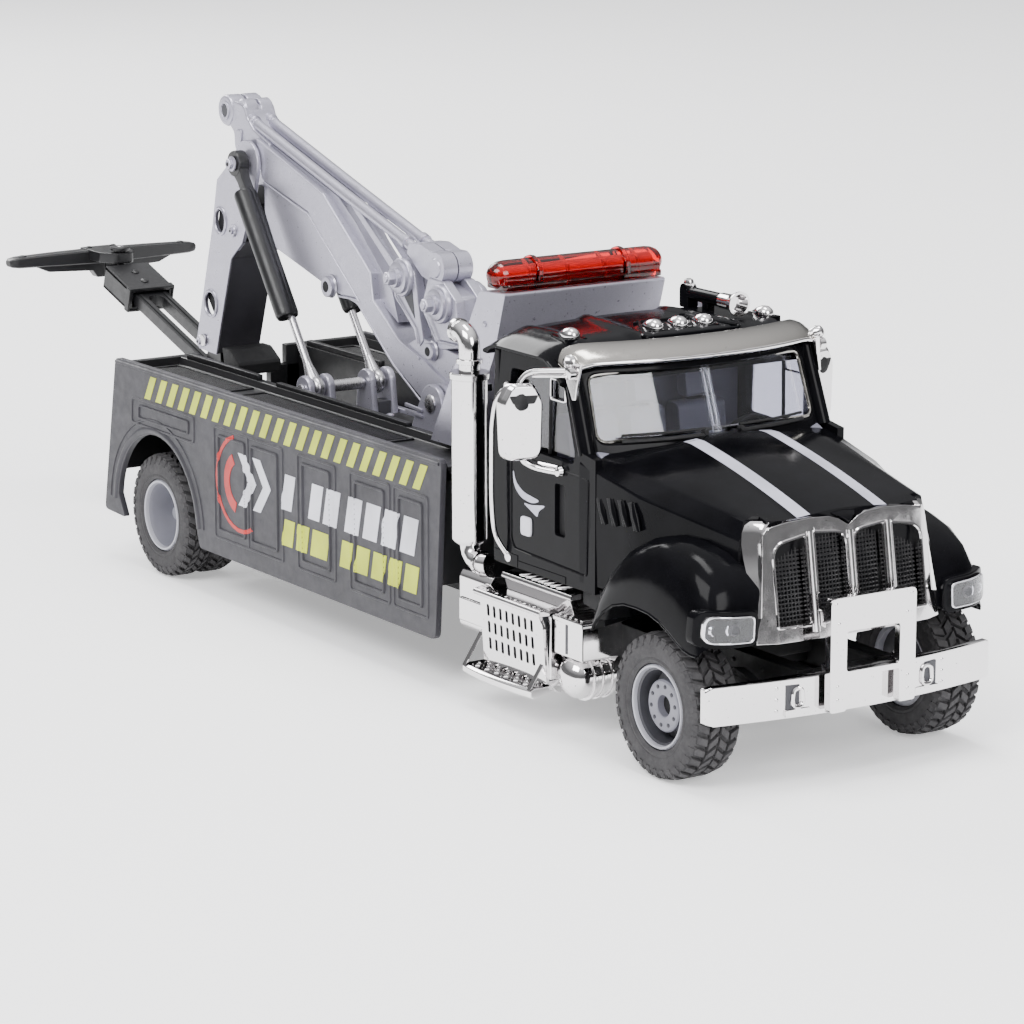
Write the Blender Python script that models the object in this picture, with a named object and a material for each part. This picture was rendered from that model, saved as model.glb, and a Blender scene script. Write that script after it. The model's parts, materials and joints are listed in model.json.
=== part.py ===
"""Die-cast toy tow truck: bonneted cab, deck body, lifting boom, mast and folding wheel-lift arm.

Frame: +X forward, +Y to the truck's left, +Z up, the origin on the ground under the middle of the
truck. Sizes below are in millimetres; every shape is built through mm(), so the scene is in metres.
"""

import math

import bmesh
import bpy
from mathutils import Matrix, Vector

# ---------------------------------------------------------------- driving dimensions (mm)
TYRE_R = 11.1
FRONT_AXLE_X = 104.8
REAR_AXLE_X = -49.85
AXLE_R = 1.3
BORE_PLAY = 0.08          # running clearance of the axles in the frame
FIT = 0.3                 # gap between neighbouring fixed pieces
ROUND = 24                # sides of a round piece
TYRE_SIDES = 32

FRONT_TYRE_Y = (18.6, 26.6)      # inner and outer face
REAR_TYRE_Y = (14.6, 25.8)
RIM_R = 6.6

CAB_REAR_X = 57.0
CAB_HALF_W = 23.5
CAB_FLOOR_Z = 23.8
BODY_HALF_W = 26.3
DECK_Z = 35.2
CHANNEL_HALF_W = 11.6
NOTCH_HALF_W = 5.5

# joint points in the XZ plane
BOOM_PIVOT = (10.0, 39.0)
HEAD_PIN = (-54.3, 72.5)
LIFT_SHAFT = (-27.5, 35.8)
STINGER_PIN = (-71.0, 37.8)
SWIVEL = (-112.5, 0.0)
CYLINDER_Y = 6.2
STINGER_START = (-70.0, 31.2)
STINGER_SLOPE = math.radians(18.0)
SIDES = {"right": 1, "left": -1}

COLOURS = {  # name: (colour, roughness, metallic)
    "black_paint": ((0.012, 0.012, 0.014), 0.25, 0.0),
    "charcoal_plastic": ((0.045, 0.045, 0.055), 0.55, 0.0),
    "black_plastic": ((0.015, 0.015, 0.017), 0.5, 0.0),
    "silver_paint": ((0.47, 0.46, 0.52), 0.35, 0.6),
    "chrome": ((0.8, 0.78, 0.76), 0.08, 1.0),
    "steel": ((0.6, 0.6, 0.62), 0.3, 1.0),
    "rubber": ((0.03, 0.03, 0.032), 0.8, 0.0),
    "rim_grey": ((0.2, 0.2, 0.23), 0.45, 0.2),
    "clear": ((0.8, 0.82, 0.86), 0.05, 0.0),
    "red_lens": ((0.7, 0.01, 0.01), 0.1, 0.0),
    "grey_plastic": ((0.25, 0.25, 0.28), 0.6, 0.0),
}


# ---------------------------------------------------------------- making shapes
def clear_scene():
    for obj in list(bpy.data.objects):
        bpy.data.objects.remove(obj, do_unlink=True)


def material(name):
    found = bpy.data.materials.get(name)
    if found:
        return found
    colour, roughness, metallic = COLOURS[name]
    made = bpy.data.materials.new(name)
    made.use_nodes = True
    made.diffuse_color = (*colour, 1)
    shader = made.node_tree.nodes["Principled BSDF"]
    shader.inputs["Base Color"].default_value = (*colour, 1)
    shader.inputs["Roughness"].default_value = roughness
    shader.inputs["Metallic"].default_value = metallic
    return made


def mm(point):
    return Vector(point) * 0.001


def closed_mesh(rings, wrap=False):
    """A closed surface through rings of equal length; flat caps, or the last ring joined to the first."""
    bm = bmesh.new()
    rows = [[bm.verts.new(mm(p)) for p in ring] for ring in rings]
    pairs = list(zip(rows, rows[1:]))
    if wrap:
        pairs.append((rows[-1], rows[0]))
    else:
        bm.faces.new(rows[0])
        bm.faces.new(rows[-1])
    for a, b in pairs:
        for i in range(len(a)):
            j = (i + 1) % len(a)
            bm.faces.new((a[i], a[j], b[j], b[i]))
    bmesh.ops.recalc_face_normals(bm, faces=bm.faces)
    bmesh.ops.triangulate(bm, faces=bm.faces)
    mesh = bpy.data.meshes.new("shape")
    bm.to_mesh(mesh)
    bm.free()
    return mesh


def box(x0, x1, y0, y1, z0, z1):
    return closed_mesh([[(x, y0, z0), (x, y1, z0), (x, y1, z1), (x, y0, z1)] for x in (x0, x1)])


def slab_y(outline, y0, y1):
    """An outline in XZ, drawn out along Y."""
    return closed_mesh([[(x, y, z) for x, z in outline] for y in (y0, y1)])


def slab_x(outline, x0, x1):
    """An outline in YZ, drawn out along X."""
    return closed_mesh([[(x, y, z) for y, z in outline] for x in (x0, x1)])


def slab_z(outline, z0, z1):
    """An outline in XY, drawn out along Z."""
    return closed_mesh([[(x, y, z) for x, y in outline] for z in (z0, z1)])


def arc(centre, radius, start, end, steps):
    """Points on a circle from one angle to another, in degrees."""
    turn = (end - start) / steps
    angles = [math.radians(start + turn * i) for i in range(steps + 1)]
    return [(centre[0] + radius * math.cos(a), centre[1] + radius * math.sin(a)) for a in angles]


def disc_y(centre, radius, y0, y1, sides=ROUND):
    """A cylinder along Y about a point of the XZ plane."""
    return slab_y(arc(centre, radius, 0, 360 - 360 / sides, sides - 1), y0, y1)


def disc_x(centre, radius, x0, x1, sides=ROUND):
    return slab_x(arc(centre, radius, 0, 360 - 360 / sides, sides - 1), x0, x1)


def disc_z(centre, radius, z0, z1, sides=ROUND):
    return slab_z(arc(centre, radius, 0, 360 - 360 / sides, sides - 1), z0, z1)


def turned_y(profile, centre, sides=ROUND):
    """A closed profile of (radius, y) turned about the Y axis through a point of the XZ plane."""
    rings = []
    for k in range(sides):
        a = 2 * math.pi * (k + 0.5) / sides
        rings.append([(centre[0] + r * math.sin(a), y, centre[1] + r * math.cos(a)) for r, y in profile])
    return closed_mesh(rings, wrap=True)


def turned(profile, start, direction, sides=ROUND):
    """Discs of (distance along, radius) about a line, closed at both ends."""
    along = Vector(direction).normalized()
    side = along.orthogonal().normalized()
    other = along.cross(side)
    rings = []
    for distance, radius in profile:
        middle = Vector(start) + along * distance
        ring = []
        for k in range(sides):
            a = 2 * math.pi * k / sides
            ring.append(middle + (side * math.cos(a) + other * math.sin(a)) * radius)
        rings.append(ring)
    return closed_mesh(rings)


def tube(points, radius, sides=12):
    """A round bar through a list of points, its ends cut square."""
    points = [Vector(p) for p in points]
    rings = []
    side = (points[1] - points[0]).orthogonal().normalized()
    for i, point in enumerate(points):
        before = points[max(i - 1, 0)]
        after = points[min(i + 1, len(points) - 1)]
        along = (after - before).normalized()
        side = (side - along * side.dot(along)).normalized()
        other = along.cross(side)
        ring = []
        for k in range(sides):
            a = 2 * math.pi * k / sides
            ring.append(point + (side * math.cos(a) + other * math.sin(a)) * radius)
        rings.append(ring)
    return closed_mesh(rings)


def bend(corner, start, end, radius, steps=4):
    """Points that round a corner of a pipe's route."""
    corner, start, end = Vector(corner), Vector(start), Vector(end)
    a = corner + (start - corner).normalized() * radius
    b = corner + (end - corner).normalized() * radius
    points = []
    for i in range(steps + 1):
        t = i / steps
        points.append(a * (1 - t) ** 2 + corner * 2 * t * (1 - t) + b * t ** 2)
    return points


def to_side(mesh, side):
    """The mesh as drawn for the right side (y below 0), or mirrored to the left."""
    made = mesh.copy()
    if side < 0:
        made.transform(Matrix.Diagonal((1, -1, 1, 1)))
        made.flip_normals()
    return made


# ---------------------------------------------------------------- making nodes
def helper(mesh):
    obj = bpy.data.objects.new("shape_helper", mesh)
    bpy.context.scene.collection.objects.link(obj)
    obj.hide_render = True
    obj.display_type = "WIRE"
    return obj


def node(name, finish, shapes, cuts=(), parent=None, side=1):
    """One sub-part: the first shape, with the others joined to it and the cuts taken out."""
    first, *others = [to_side(shape, side) for shape in shapes]
    obj = bpy.data.objects.new(name, first)
    bpy.context.scene.collection.objects.link(obj)
    first.materials.append(material(finish))
    for operation, meshes in (("UNION", others), ("DIFFERENCE", [to_side(cut, side) for cut in cuts])):
        for mesh in meshes:
            modifier = obj.modifiers.new(operation.title(), "BOOLEAN")
            modifier.operation = operation
            modifier.solver = "EXACT"
            modifier.object = helper(mesh)
    first.shade_smooth()
    first.set_sharp_from_angle(angle=math.radians(35))
    if parent:
        obj.parent = parent
        obj.location = -parent.matrix_world.translation
    return obj


def pivot(name, point, parent=None):
    """An empty on a joint's axis; the pieces that move about it are its children."""
    empty = bpy.data.objects.new(name, None)
    empty.empty_display_size = 0.004
    bpy.context.scene.collection.objects.link(empty)
    empty.location = mm(point)
    if parent:
        empty.parent = parent
        empty.location -= parent.matrix_world.translation
    bpy.context.view_layer.update()
    return empty


# ---------------------------------------------------------------- chassis and wheels
def build_chassis():
    rail_y = (5.7, 8.4)
    top, bottom, foot = 16.6, 12.9, 8.8
    outline = [(-64.0, bottom)]
    for x in (REAR_AXLE_X, FRONT_AXLE_X):
        outline += [(x - 2.8, bottom), (x - 2.4, foot), (x + 2.4, foot), (x + 2.8, bottom)]
    outline += [(112.0, bottom), (112.0, top), (-64.0, top)]
    shapes = [slab_y(outline, rail_y[0], rail_y[1]), slab_y(outline, -rail_y[1], -rail_y[0])]
    for x0, x1 in ((-44.0, -38.0), (-4.0, 4.0), (44.0, 60.0), (78.0, 84.0)):
        shapes.append(box(x0, x1, -6.5, 6.5, 13.4, 16.0))
    shapes.append(box(109.0, 116.2, -13.0, 13.0, 13.2, 20.9))
    bores = []
    for x in (REAR_AXLE_X, FRONT_AXLE_X):
        bores.append(disc_y((x, TYRE_R), AXLE_R + BORE_PLAY, -10.0, 10.0))
    node("chassis_frame", "black_plastic", shapes, bores)


def build_wheels(axle_x, name, tyre_y, tyre_profile, rim_profile, axle_end):
    spin = pivot(name + "_wheels_pivot", (axle_x, 0, TYRE_R))
    centre = (axle_x, TYRE_R)
    node("axle_" + name, "steel", [disc_y(centre, AXLE_R, -axle_end, axle_end)], parent=spin)
    for side_name, side in SIDES.items():
        tyre = [(r, -(tyre_y[0] + a)) for r, a in tyre_profile]
        # flats of the tread stand on the ground, so the corners lie a little outside the radius
        tyre = [(r / math.cos(math.pi / TYRE_SIDES), y) for r, y in tyre]
        tyre = turned_y(tyre, centre, TYRE_SIDES)
        node(f"tyre_{name}_{side_name}", "rubber", [tyre], parent=spin, side=side)
        rim = turned_y([(r, -(tyre_y[0] + a)) for r, a in rim_profile], centre)
        node(f"rim_{name}_{side_name}", "rim_grey", [rim], parent=spin, side=side)


def build_all_wheels():
    bore = RIM_R + FIT
    hub = AXLE_R + FIT
    front_tyre = [(bore, 0.6), (8.4, 0.0), (10.3, 0.3), (TYRE_R, 1.1), (TYRE_R, 6.9), (10.3, 7.7), (8.4, 8.0)]
    front_tyre += [(bore, 7.4)]
    front_rim = [(hub, 1.0), (3.2, 1.0), (3.6, 3.2), (5.6, 3.2), (5.8, 0.8), (RIM_R, 0.8), (RIM_R, 7.6)]
    front_rim += [(5.8, 7.6), (5.5, 4.8), (3.9, 4.8), (3.6, 6.0), (hub, 6.0)]
    build_wheels(FRONT_AXLE_X, "front", FRONT_TYRE_Y, front_tyre, front_rim, 23.6)
    rear_tyre = [(bore, 0.5), (8.4, 0.0), (10.3, 0.2), (TYRE_R, 0.9), (TYRE_R, 4.5), (10.3, 5.2), (8.6, 5.4)]
    rear_tyre += [(8.6, 5.8), (10.3, 6.0), (TYRE_R, 6.7), (TYRE_R, 10.3), (10.3, 11.0), (8.4, 11.2)]
    rear_tyre += [(bore, 10.7)]
    rear_rim = [(hub, 2.0), (3.6, 2.0), (3.9, 4.6), (5.7, 4.6), (5.8, 0.8), (RIM_R, 0.8), (RIM_R, 10.9)]
    rear_rim += [(5.8, 10.9), (5.5, 5.8), (3.9, 5.8), (3.5, 7.2), (hub, 7.2)]
    build_wheels(REAR_AXLE_X, "rear", REAR_TYRE_Y, rear_tyre, rear_rim, 21.4)


# ---------------------------------------------------------------- cab
def cab_ring(z, rear, middle, corner, half, inset=0.0):
    """The cab's plan at one height; its front is bowed from the corners to the middle."""
    rear, middle, corner, half = rear + inset, middle - inset, corner - inset, half - inset
    right = [(rear, -half), (corner - 1.2, -half), (corner, -half + 1.2), (middle - 0.6, -0.45 * half)]
    left = [(x, -y) for x, y in reversed(right)]
    return [(x, y, z) for x, y in right + left]


def cab_block(inset, floor, roof):
    """The cab's outside, or its hollow when inset."""
    rings = [
        cab_ring(floor, CAB_REAR_X, 84.6, 84.0, CAB_HALF_W, inset),
        cab_ring(45.2, CAB_REAR_X, 84.8, 82.6, CAB_HALF_W, inset),
        cab_ring(56.2, CAB_REAR_X, 80.4, 77.6, CAB_HALF_W - 0.4, inset),
        cab_ring(59.4 - inset, CAB_REAR_X + 0.8, 77.6, 75.0, CAB_HALF_W - 2.0, inset),
        cab_ring(roof, CAB_REAR_X + 4.0, 73.5, 71.0, CAB_HALF_W - 6.5, inset),
    ]
    return closed_mesh(rings)


def hood_ring(x, low_half, high_half, floor, low_z, high_z, mid_z):
    right = [(-low_half, floor), (-low_half, low_z), (-high_half, high_z)]
    left = [(-y, z) for y, z in reversed(right)]
    return [(x, y, z) for y, z in right + [(0.0, mid_z)] + left]


def hood_block(inset, front, floor):
    rear = 80.0
    rings = [
        hood_ring(rear, 23.0 - inset, 20.6 - inset, floor, 40.8 - inset, 44.4 - inset, 46.2 - inset),
        hood_ring(97.0, 20.0 - inset, 17.8 - inset, floor, 38.9 - inset, 41.9 - inset, 43.7 - inset),
        hood_ring(front, 16.9 - inset, 14.8 - inset, floor, 35.8 - inset, 38.3 - inset, 39.6 - inset),
    ]
    return closed_mesh(rings)


def fender_outline(grow):
    """The wing in side view: its crown outside, the wheel opening below."""
    crown = [(88.6, 25.0), (91.6, 30.0), (96.4, 33.8), (102.4, 35.4), (109.0, 34.8), (114.4, 32.6)]
    crown = [(x, z + grow) for x, z in crown + [(117.2, 29.0)]]
    opening = arc((100.8, 9.3), 15.7, 42.0, 139.0, 10)
    return [(87.3, 19.6)] + crown + [(117.8, 24.5), (117.4, 20.8), (113.4, 20.2)] + opening


def build_fender():
    """Rings at three distances from the truck's middle, the outer one rounded in."""
    rings = []
    for y, grow in ((-14.0, 0.3), (-24.4, 0.0), (-26.3, -1.6)):
        rings.append([(x, y, z) for x, z in fender_outline(grow)])
    return closed_mesh(rings)


def build_cab_shell():
    hollow = cab_block(1.3, CAB_FLOOR_Z - 2.0, 60.0)
    hood_hollow = hood_block(1.3, 120.0, 10.0)
    window = [(61.6, 42.6), (80.4, 42.6), (80.0, 45.6), (76.2, 54.0), (61.6, 54.0)]
    screen = [(72.0, 46.9), (92.0, 46.9), (92.0, 55.1), (72.0, 55.1)]
    lamp = [(-25.9, 22.8), (-17.7, 22.8), (-17.7, 27.6), (-25.9, 27.6)]
    shapes = [cab_block(0.0, CAB_FLOOR_Z, 61.2), hood_block(0.0, 112.2, 24.6)]
    shapes += [to_side(build_fender(), side) for side in SIDES.values()]
    cuts = [hollow, hood_hollow, slab_y(window, -30.0, 30.0), slab_y(screen, -20.4, -0.7)]
    cuts += [slab_y(screen, 0.7, 20.4)]
    cuts += [to_side(slab_x(lamp, 115.2, 125.0), side) for side in SIDES.values()]
    cuts.append(box(112.3, 125.0, -17.1, 17.1, 10.0, 45.0))
    node("cab_shell", "black_paint", shapes, cuts)


def build_glazing():
    """The clear moulding behind the windscreen and the door windows, open above and below."""
    def pane(inset, low, high):
        rings = [
            cab_ring(low, CAB_REAR_X, 86.4, 84.2, CAB_HALF_W, inset),
            cab_ring(45.2, CAB_REAR_X, 84.8, 82.6, CAB_HALF_W, inset),
            cab_ring(high, CAB_REAR_X, 80.5, 77.7, CAB_HALF_W - 0.4, inset),
        ]
        return closed_mesh(rings)
    outer = pane(1.8, 41.4, 55.9)
    node("cab_glazing", "clear", [outer], [pane(2.4, 41.0, 56.4), box(79.0, 92.0, -30.0, 30.0, 38.0, 45.9)])


def build_interior():
    shapes = [box(59.6, 82.0, -20.4, 20.4, 24.8, 26.4)]
    for y in (-9.6, 9.6):
        shapes.append(box(64.0, 72.6, y - 5.6, y + 5.6, 26.0, 32.6))
        shapes.append(slab_y([(63.8, 32.0), (66.6, 32.0), (64.4, 45.0), (62.0, 45.0)], y - 5.4, y + 5.4))
    shapes.append(slab_y([(78.6, 26.0), (81.6, 26.0), (81.6, 39.6), (77.4, 39.0)], -20.2, 20.2))
    wheel = [(0, 0.5), (4.6, 0.5), (4.6, 3.0), (5.4, 3.0)]
    shapes.append(turned(wheel, (78.6, 9.6, 36.8), (-0.8, 0, 0.6), 16))
    node("cab_interior", "grey_plastic", shapes)


def build_visor_frame():
    """The sun visor with the two pillar covers that hang from its ends."""
    visor = [(74.6, 62.2), (84.0, 58.6), (84.6, 57.4), (83.9, 57.1), (80.6, 57.9), (76.8, 60.6), (74.6, 61.4)]
    plate = slab_y(visor, -23.9, 23.9)
    pillar = [(81.0, 58.6), (79.7, 56.4), (84.0, 45.9), (85.0, 45.9)]
    cut = [(70.0, 64.0), (70.0, 55.0), (78.0, 55.0), (78.0, 64.0)]
    shapes = [plate] + [to_side(slab_y(pillar, -22.9, -20.6), side) for side in SIDES.values()]
    corners = [to_side(slab_y(cut, -30.0, -21.6), side) for side in SIDES.values()]
    shell = closed_mesh([
        cab_ring(40.0, CAB_REAR_X, 86.9, 84.7, CAB_HALF_W, -FIT),
        cab_ring(45.2, CAB_REAR_X, 84.8, 82.6, CAB_HALF_W, -FIT),
        cab_ring(56.2, CAB_REAR_X, 80.4, 77.6, CAB_HALF_W - 0.4, -FIT),
        cab_ring(59.8, CAB_REAR_X, 77.6, 75.0, CAB_HALF_W - 2.0, -FIT),
        cab_ring(61.6, CAB_REAR_X, 73.5, 71.0, CAB_HALF_W - 6.5, -FIT),
    ])
    hood = box(80.0, 92.0, -30.0, 30.0, 38.0, 46.7)
    node("visor_frame", "chrome", shapes, [shell, hood] + corners)


def dome(x, y, z):
    """A marker lamp: a short teardrop with its round end forward."""
    rings = []
    for height, size in ((0.0, 1.0), (0.7, 0.95), (1.2, 0.75), (1.6, 0.4)):
        outline = arc((x, y), 1.5 * size, -90, 90, 6) + [(x - 3.0 * size, y)]
        rings.append([(px, py, z + height) for px, py in outline])
    return closed_mesh(rings)


def build_roof_pieces():
    for name, side in SIDES.items():
        node("roof_marker_" + name, "chrome", [dome(70.6, -16.4, 61.6)], side=side)
    bar = [box(68.2, 73.4, -8.4, 8.4, 61.5, 61.9)] + [dome(71.4, y, 61.8) for y in (-6.2, 0.0, 6.2)]
    node("roof_marker_bar", "chrome", bar)
    trumpet = [(0.0, 1.2), (1.0, 1.5), (8.0, 0.9), (10.0, 1.0), (12.0, 1.6), (13.0, 2.0)]
    horn = [turned(trumpet, (57.0, 12.4, 63.9), (1, 0, 0), 16), box(60.0, 62.0, 11.6, 13.2, 61.5, 63.4)]
    node("air_horn", "chrome", horn)


def build_front():
    """Grille, bumper, push guard and headlamps."""
    def lean(z):
        return (38.4 - z) * 0.16

    def grille_ring(x, half_low, half_high, low, high):
        outline = [(-half_low, low), (half_low, low), (half_high, high)]
        outline += [(0.0, high + 0.3), (-half_high, high)]
        return [(x + lean(z), y, z) for y, z in outline]

    back, face = grille_ring(112.5, 16.8, 15.0, 21.6, 38.6), grille_ring(114.6, 16.4, 14.6, 21.8, 38.4)
    openings = []
    for side in SIDES.values():
        for y0, y1 in ((-6.9, -0.8), (-14.0, -8.3)):
            openings.append(to_side(box(105.0, 125.0, y0, y1, 24.2, 36.0), side))
    node("grille_shell", "chrome", [closed_mesh([back, face])], openings)
    mesh = closed_mesh([grille_ring(x, 15.0, 13.4, 23.2, 36.9) for x in (111.2, 112.1)])
    node("grille_mesh", "black_plastic", [mesh])
    front = [(117.6, -26.5), (119.3, -18.0), (120.4, -8.0), (120.7, 0.0)]
    front += [(x, -y) for x, y in reversed(front[:-1])]
    back = [(116.4, 26.5), (117.0, 18.0), (118.0, 8.0), (118.2, 0.0)]
    back += [(x, -y) for x, y in reversed(back[:-1])]
    node("bumper", "chrome", [slab_z(front + back, 10.8, 16.9)])
    plate = [(-8.6, 11.4), (8.6, 11.4), (8.6, 28.0), (8.1, 28.5), (-8.1, 28.5), (-8.6, 28.0)]
    window = box(118.0, 126.0, -5.9, 5.9, 17.2, 22.6)
    node("push_guard", "chrome", [slab_x(plate, 121.1, 122.8)], [window])
    lens = [(-25.6, 23.1), (-18.0, 23.1), (-18.0, 27.3), (-25.6, 27.3)]
    for name, side in SIDES.items():
        node("headlamp_" + name, "clear", [slab_x(lens, 115.5, 118.2)], side=side)


def build_mirror(side_name, side):
    head_outline = [(-26.0, 43.6), (-27.0, 42.6), (-30.6, 42.6), (-31.6, 43.6), (-31.6, 54.4), (-30.4, 55.6)]
    head = slab_x(head_outline + [(-27.2, 55.6), (-26.0, 54.4)], 69.4, 71.8)
    top = tube([(70.8, -28.4, 54.6), (71.6, -27.6, 56.6), (77.6, -24.5, 57.2)], 0.6, 8)
    low = tube([(70.8, -27.6, 43.6), (71.8, -26.6, 41.4), (75.0, -24.5, 41.2)], 0.6, 8)
    node("mirror_" + side_name, "chrome", [head, top, low], side=side)


def build_grab_handle(side_name, side):
    x, out = 59.0, -25.2
    route = [(x, -24.0, 47.4), (x, out + 0.3, 47.2), (x, out, 46.2), (x, out, 27.0), (x, out + 0.3, 26.0)]
    node("grab_handle_" + side_name, "chrome", [tube(route + [(x, -24.0, 25.8)], 0.42, 8)], side=side)


def build_exhaust(side_name, side):
    x, y = 49.4, -23.4
    mouth, elbow, foot, end = (44.4, y, 60.4), (x, y, 60.4), (x, y, 24.6), (53.0, y + 1.6, 24.6)
    route = [mouth] + bend(elbow, mouth, foot, 3.0, 5) + bend(foot, elbow, end, 2.4, 4) + [end]
    shield = [(0.0, 2.9), (24.2, 2.9), (24.2, 3.15), (25.2, 3.15)]
    shapes = [tube(route, 1.75, 16), turned(shield, (x, y, 27.2), (0, 0, 1))]
    node("exhaust_" + side_name, "chrome", shapes, side=side)


def build_step(side_name, side):
    section = [(-17.0, 9.4), (-24.8, 9.4), (-24.8, 6.4), (-27.4, 6.4), (-27.4, 7.5), (-25.6, 8.6)]
    section += [(-25.6, 18.6), (-26.6, 18.8), (-26.6, 19.8), (-24.8, 21.0), (-24.2, 23.2)]
    section += [(-23.0, 23.2), (-23.0, 21.0), (-17.0, 21.0)]
    ladder = slab_x(section, 54.6, 73.4)
    case = box(46.6, 55.0, -24.0, -17.0, 10.6, 20.8)
    battery = box(73.0, 82.4, -24.6, -18.0, 14.6, 19.2)
    node("step_" + side_name, "chrome", [ladder, case, battery], side=side)
    end = [(0.0, 0.8), (0.5, 2.0), (1.4, 2.9), (2.8, 3.3)]
    profile = end + [(18.8 - a, r) for a, r in reversed(end)]
    node("air_tank_" + side_name, "chrome", [turned(profile, (74.0, -21.6, 10.7), (1, 0, 0), 20)], side=side)


def build_cab():
    build_cab_shell()
    build_glazing()
    build_interior()
    build_visor_frame()
    build_roof_pieces()
    build_front()
    for name, side in SIDES.items():
        build_mirror(name, side)
        build_grab_handle(name, side)
        build_exhaust(name, side)
        build_step(name, side)


# ---------------------------------------------------------------- body
def build_body():
    panel = [(-65.2, 37.6), (45.4, 37.8), (43.4, 8.0), (-34.4, 8.1), (-36.4, 16.0), (-40.6, 22.8)]
    panel += [(-45.6, 25.6), (-52.4, 25.8), (-57.8, 23.4), (-61.2, 16.0), (-62.0, 8.4), (-70.5, 8.7)]
    panel = slab_y(panel, -BODY_HALF_W, -BODY_HALF_W + 1.0)
    for name, side in SIDES.items():
        node("body_side_" + name, "charcoal_plastic", [panel], side=side)
    edge = BODY_HALF_W - 1.0 - FIT
    wall = CHANNEL_HALF_W
    half = [(-edge, DECK_Z - 1.4), (-edge, DECK_Z), (-wall - 1.0, DECK_Z), (-wall - 1.0, DECK_Z + 1.0)]
    half += [(-wall, DECK_Z + 1.0), (-wall, 18.4)]
    under = [(-wall - 1.3, DECK_Z - 1.4), (-wall - 1.3, 17.0)]
    section = half + [(-y, z) for y, z in reversed(half)] + [(-y, z) for y, z in under] + under[::-1]
    rear_wall = [(-edge, 17.0), (edge, 17.0), (edge, DECK_Z), (9.0, DECK_Z), (9.0, 33.0), (-9.0, 33.0)]
    rear_wall += [(-9.0, DECK_Z), (-edge, DECK_Z)]
    shapes = [slab_x(section, -64.8, 44.0), slab_x(rear_wall, -66.0, -64.2)]
    shapes.append(box(42.6, 44.0, -edge, edge, 17.0, DECK_Z))
    notch = box(-70.0, -56.0, -NOTCH_HALF_W, NOTCH_HALF_W, 10.0, 45.0)
    node("deck", "black_plastic", shapes, [notch])
    side_face = [(25.2, 36.5), (40.0, 63.0), (47.6, 63.5), (44.2, 53.0), (42.8, 50.4), (34.6, 36.5)]
    node("headboard", "silver_paint", [slab_y(side_face, -15.5, 15.5)])
    node("light_bar_base", "red_lens", [box(41.4, 47.2, -15.2, 15.2, 63.9, 64.9)])
    profile = [(0.0, 1.1), (0.6, 2.0), (2.0, 2.7), (9.0, 2.8), (9.1, 3.1), (10.6, 3.1), (10.7, 2.8)]
    profile = profile + [(34.6 - a, r) for a, r in reversed(profile)]
    lens = turned(profile, (44.3, -17.3, 67.1), (0, 1, 0))
    node("light_bar_lens", "red_lens", [lens], [box(35.0, 55.0, -20.0, 20.0, 60.0, 65.2)])


# ---------------------------------------------------------------- boom and lift cylinders
def build_boom_base():
    """The casting in the deck channel: a cover plate, a fork for each lift rod, cheeks for the boom."""
    cover = [(-10.9, 18.8), (-10.9, 31.0), (10.9, 31.0), (10.9, 18.8), (9.4, 18.8), (9.4, 29.6), (-9.4, 29.6)]
    shapes = [slab_x(cover + [(-9.4, 18.8)], -34.0, 20.0)]
    x, z = LIFT_SHAFT
    lug = [(x - 2.6, 30.6)] + arc((x, z), 2.3, 180, 0, 8) + [(x + 2.6, 30.6)]
    for side in SIDES.values():
        for y in (-4.9, -9.0):
            shapes.append(to_side(slab_y(lug, y, y + 1.4), side))
    bx, bz = BOOM_PIVOT
    cheek = [(bx - 6.0, 30.6)] + arc((bx, bz), 3.2, 160, 20, 8) + [(bx + 6.0, 30.6)]
    for side in SIDES.values():
        shapes.append(to_side(slab_y(cheek, -5.6, -4.1), side))
    holes = [disc_y(LIFT_SHAFT, 0.75, -12.0, 12.0, 16), disc_y(BOOM_PIVOT, 1.1, -12.0, 12.0, 16)]
    well = box(bx - 9.0, bx + 5.4, -4.0, 4.0, 25.0, 35.0)
    node("boom_base", "silver_paint", shapes, holes + [well])
    node("lift_shaft", "steel", [disc_y(LIFT_SHAFT, 0.65, -9.6, 9.6, 16)])
    node("boom_pivot_pin", "steel", [disc_y(BOOM_PIVOT, 1.0, -6.2, 6.2, 16)])


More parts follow.
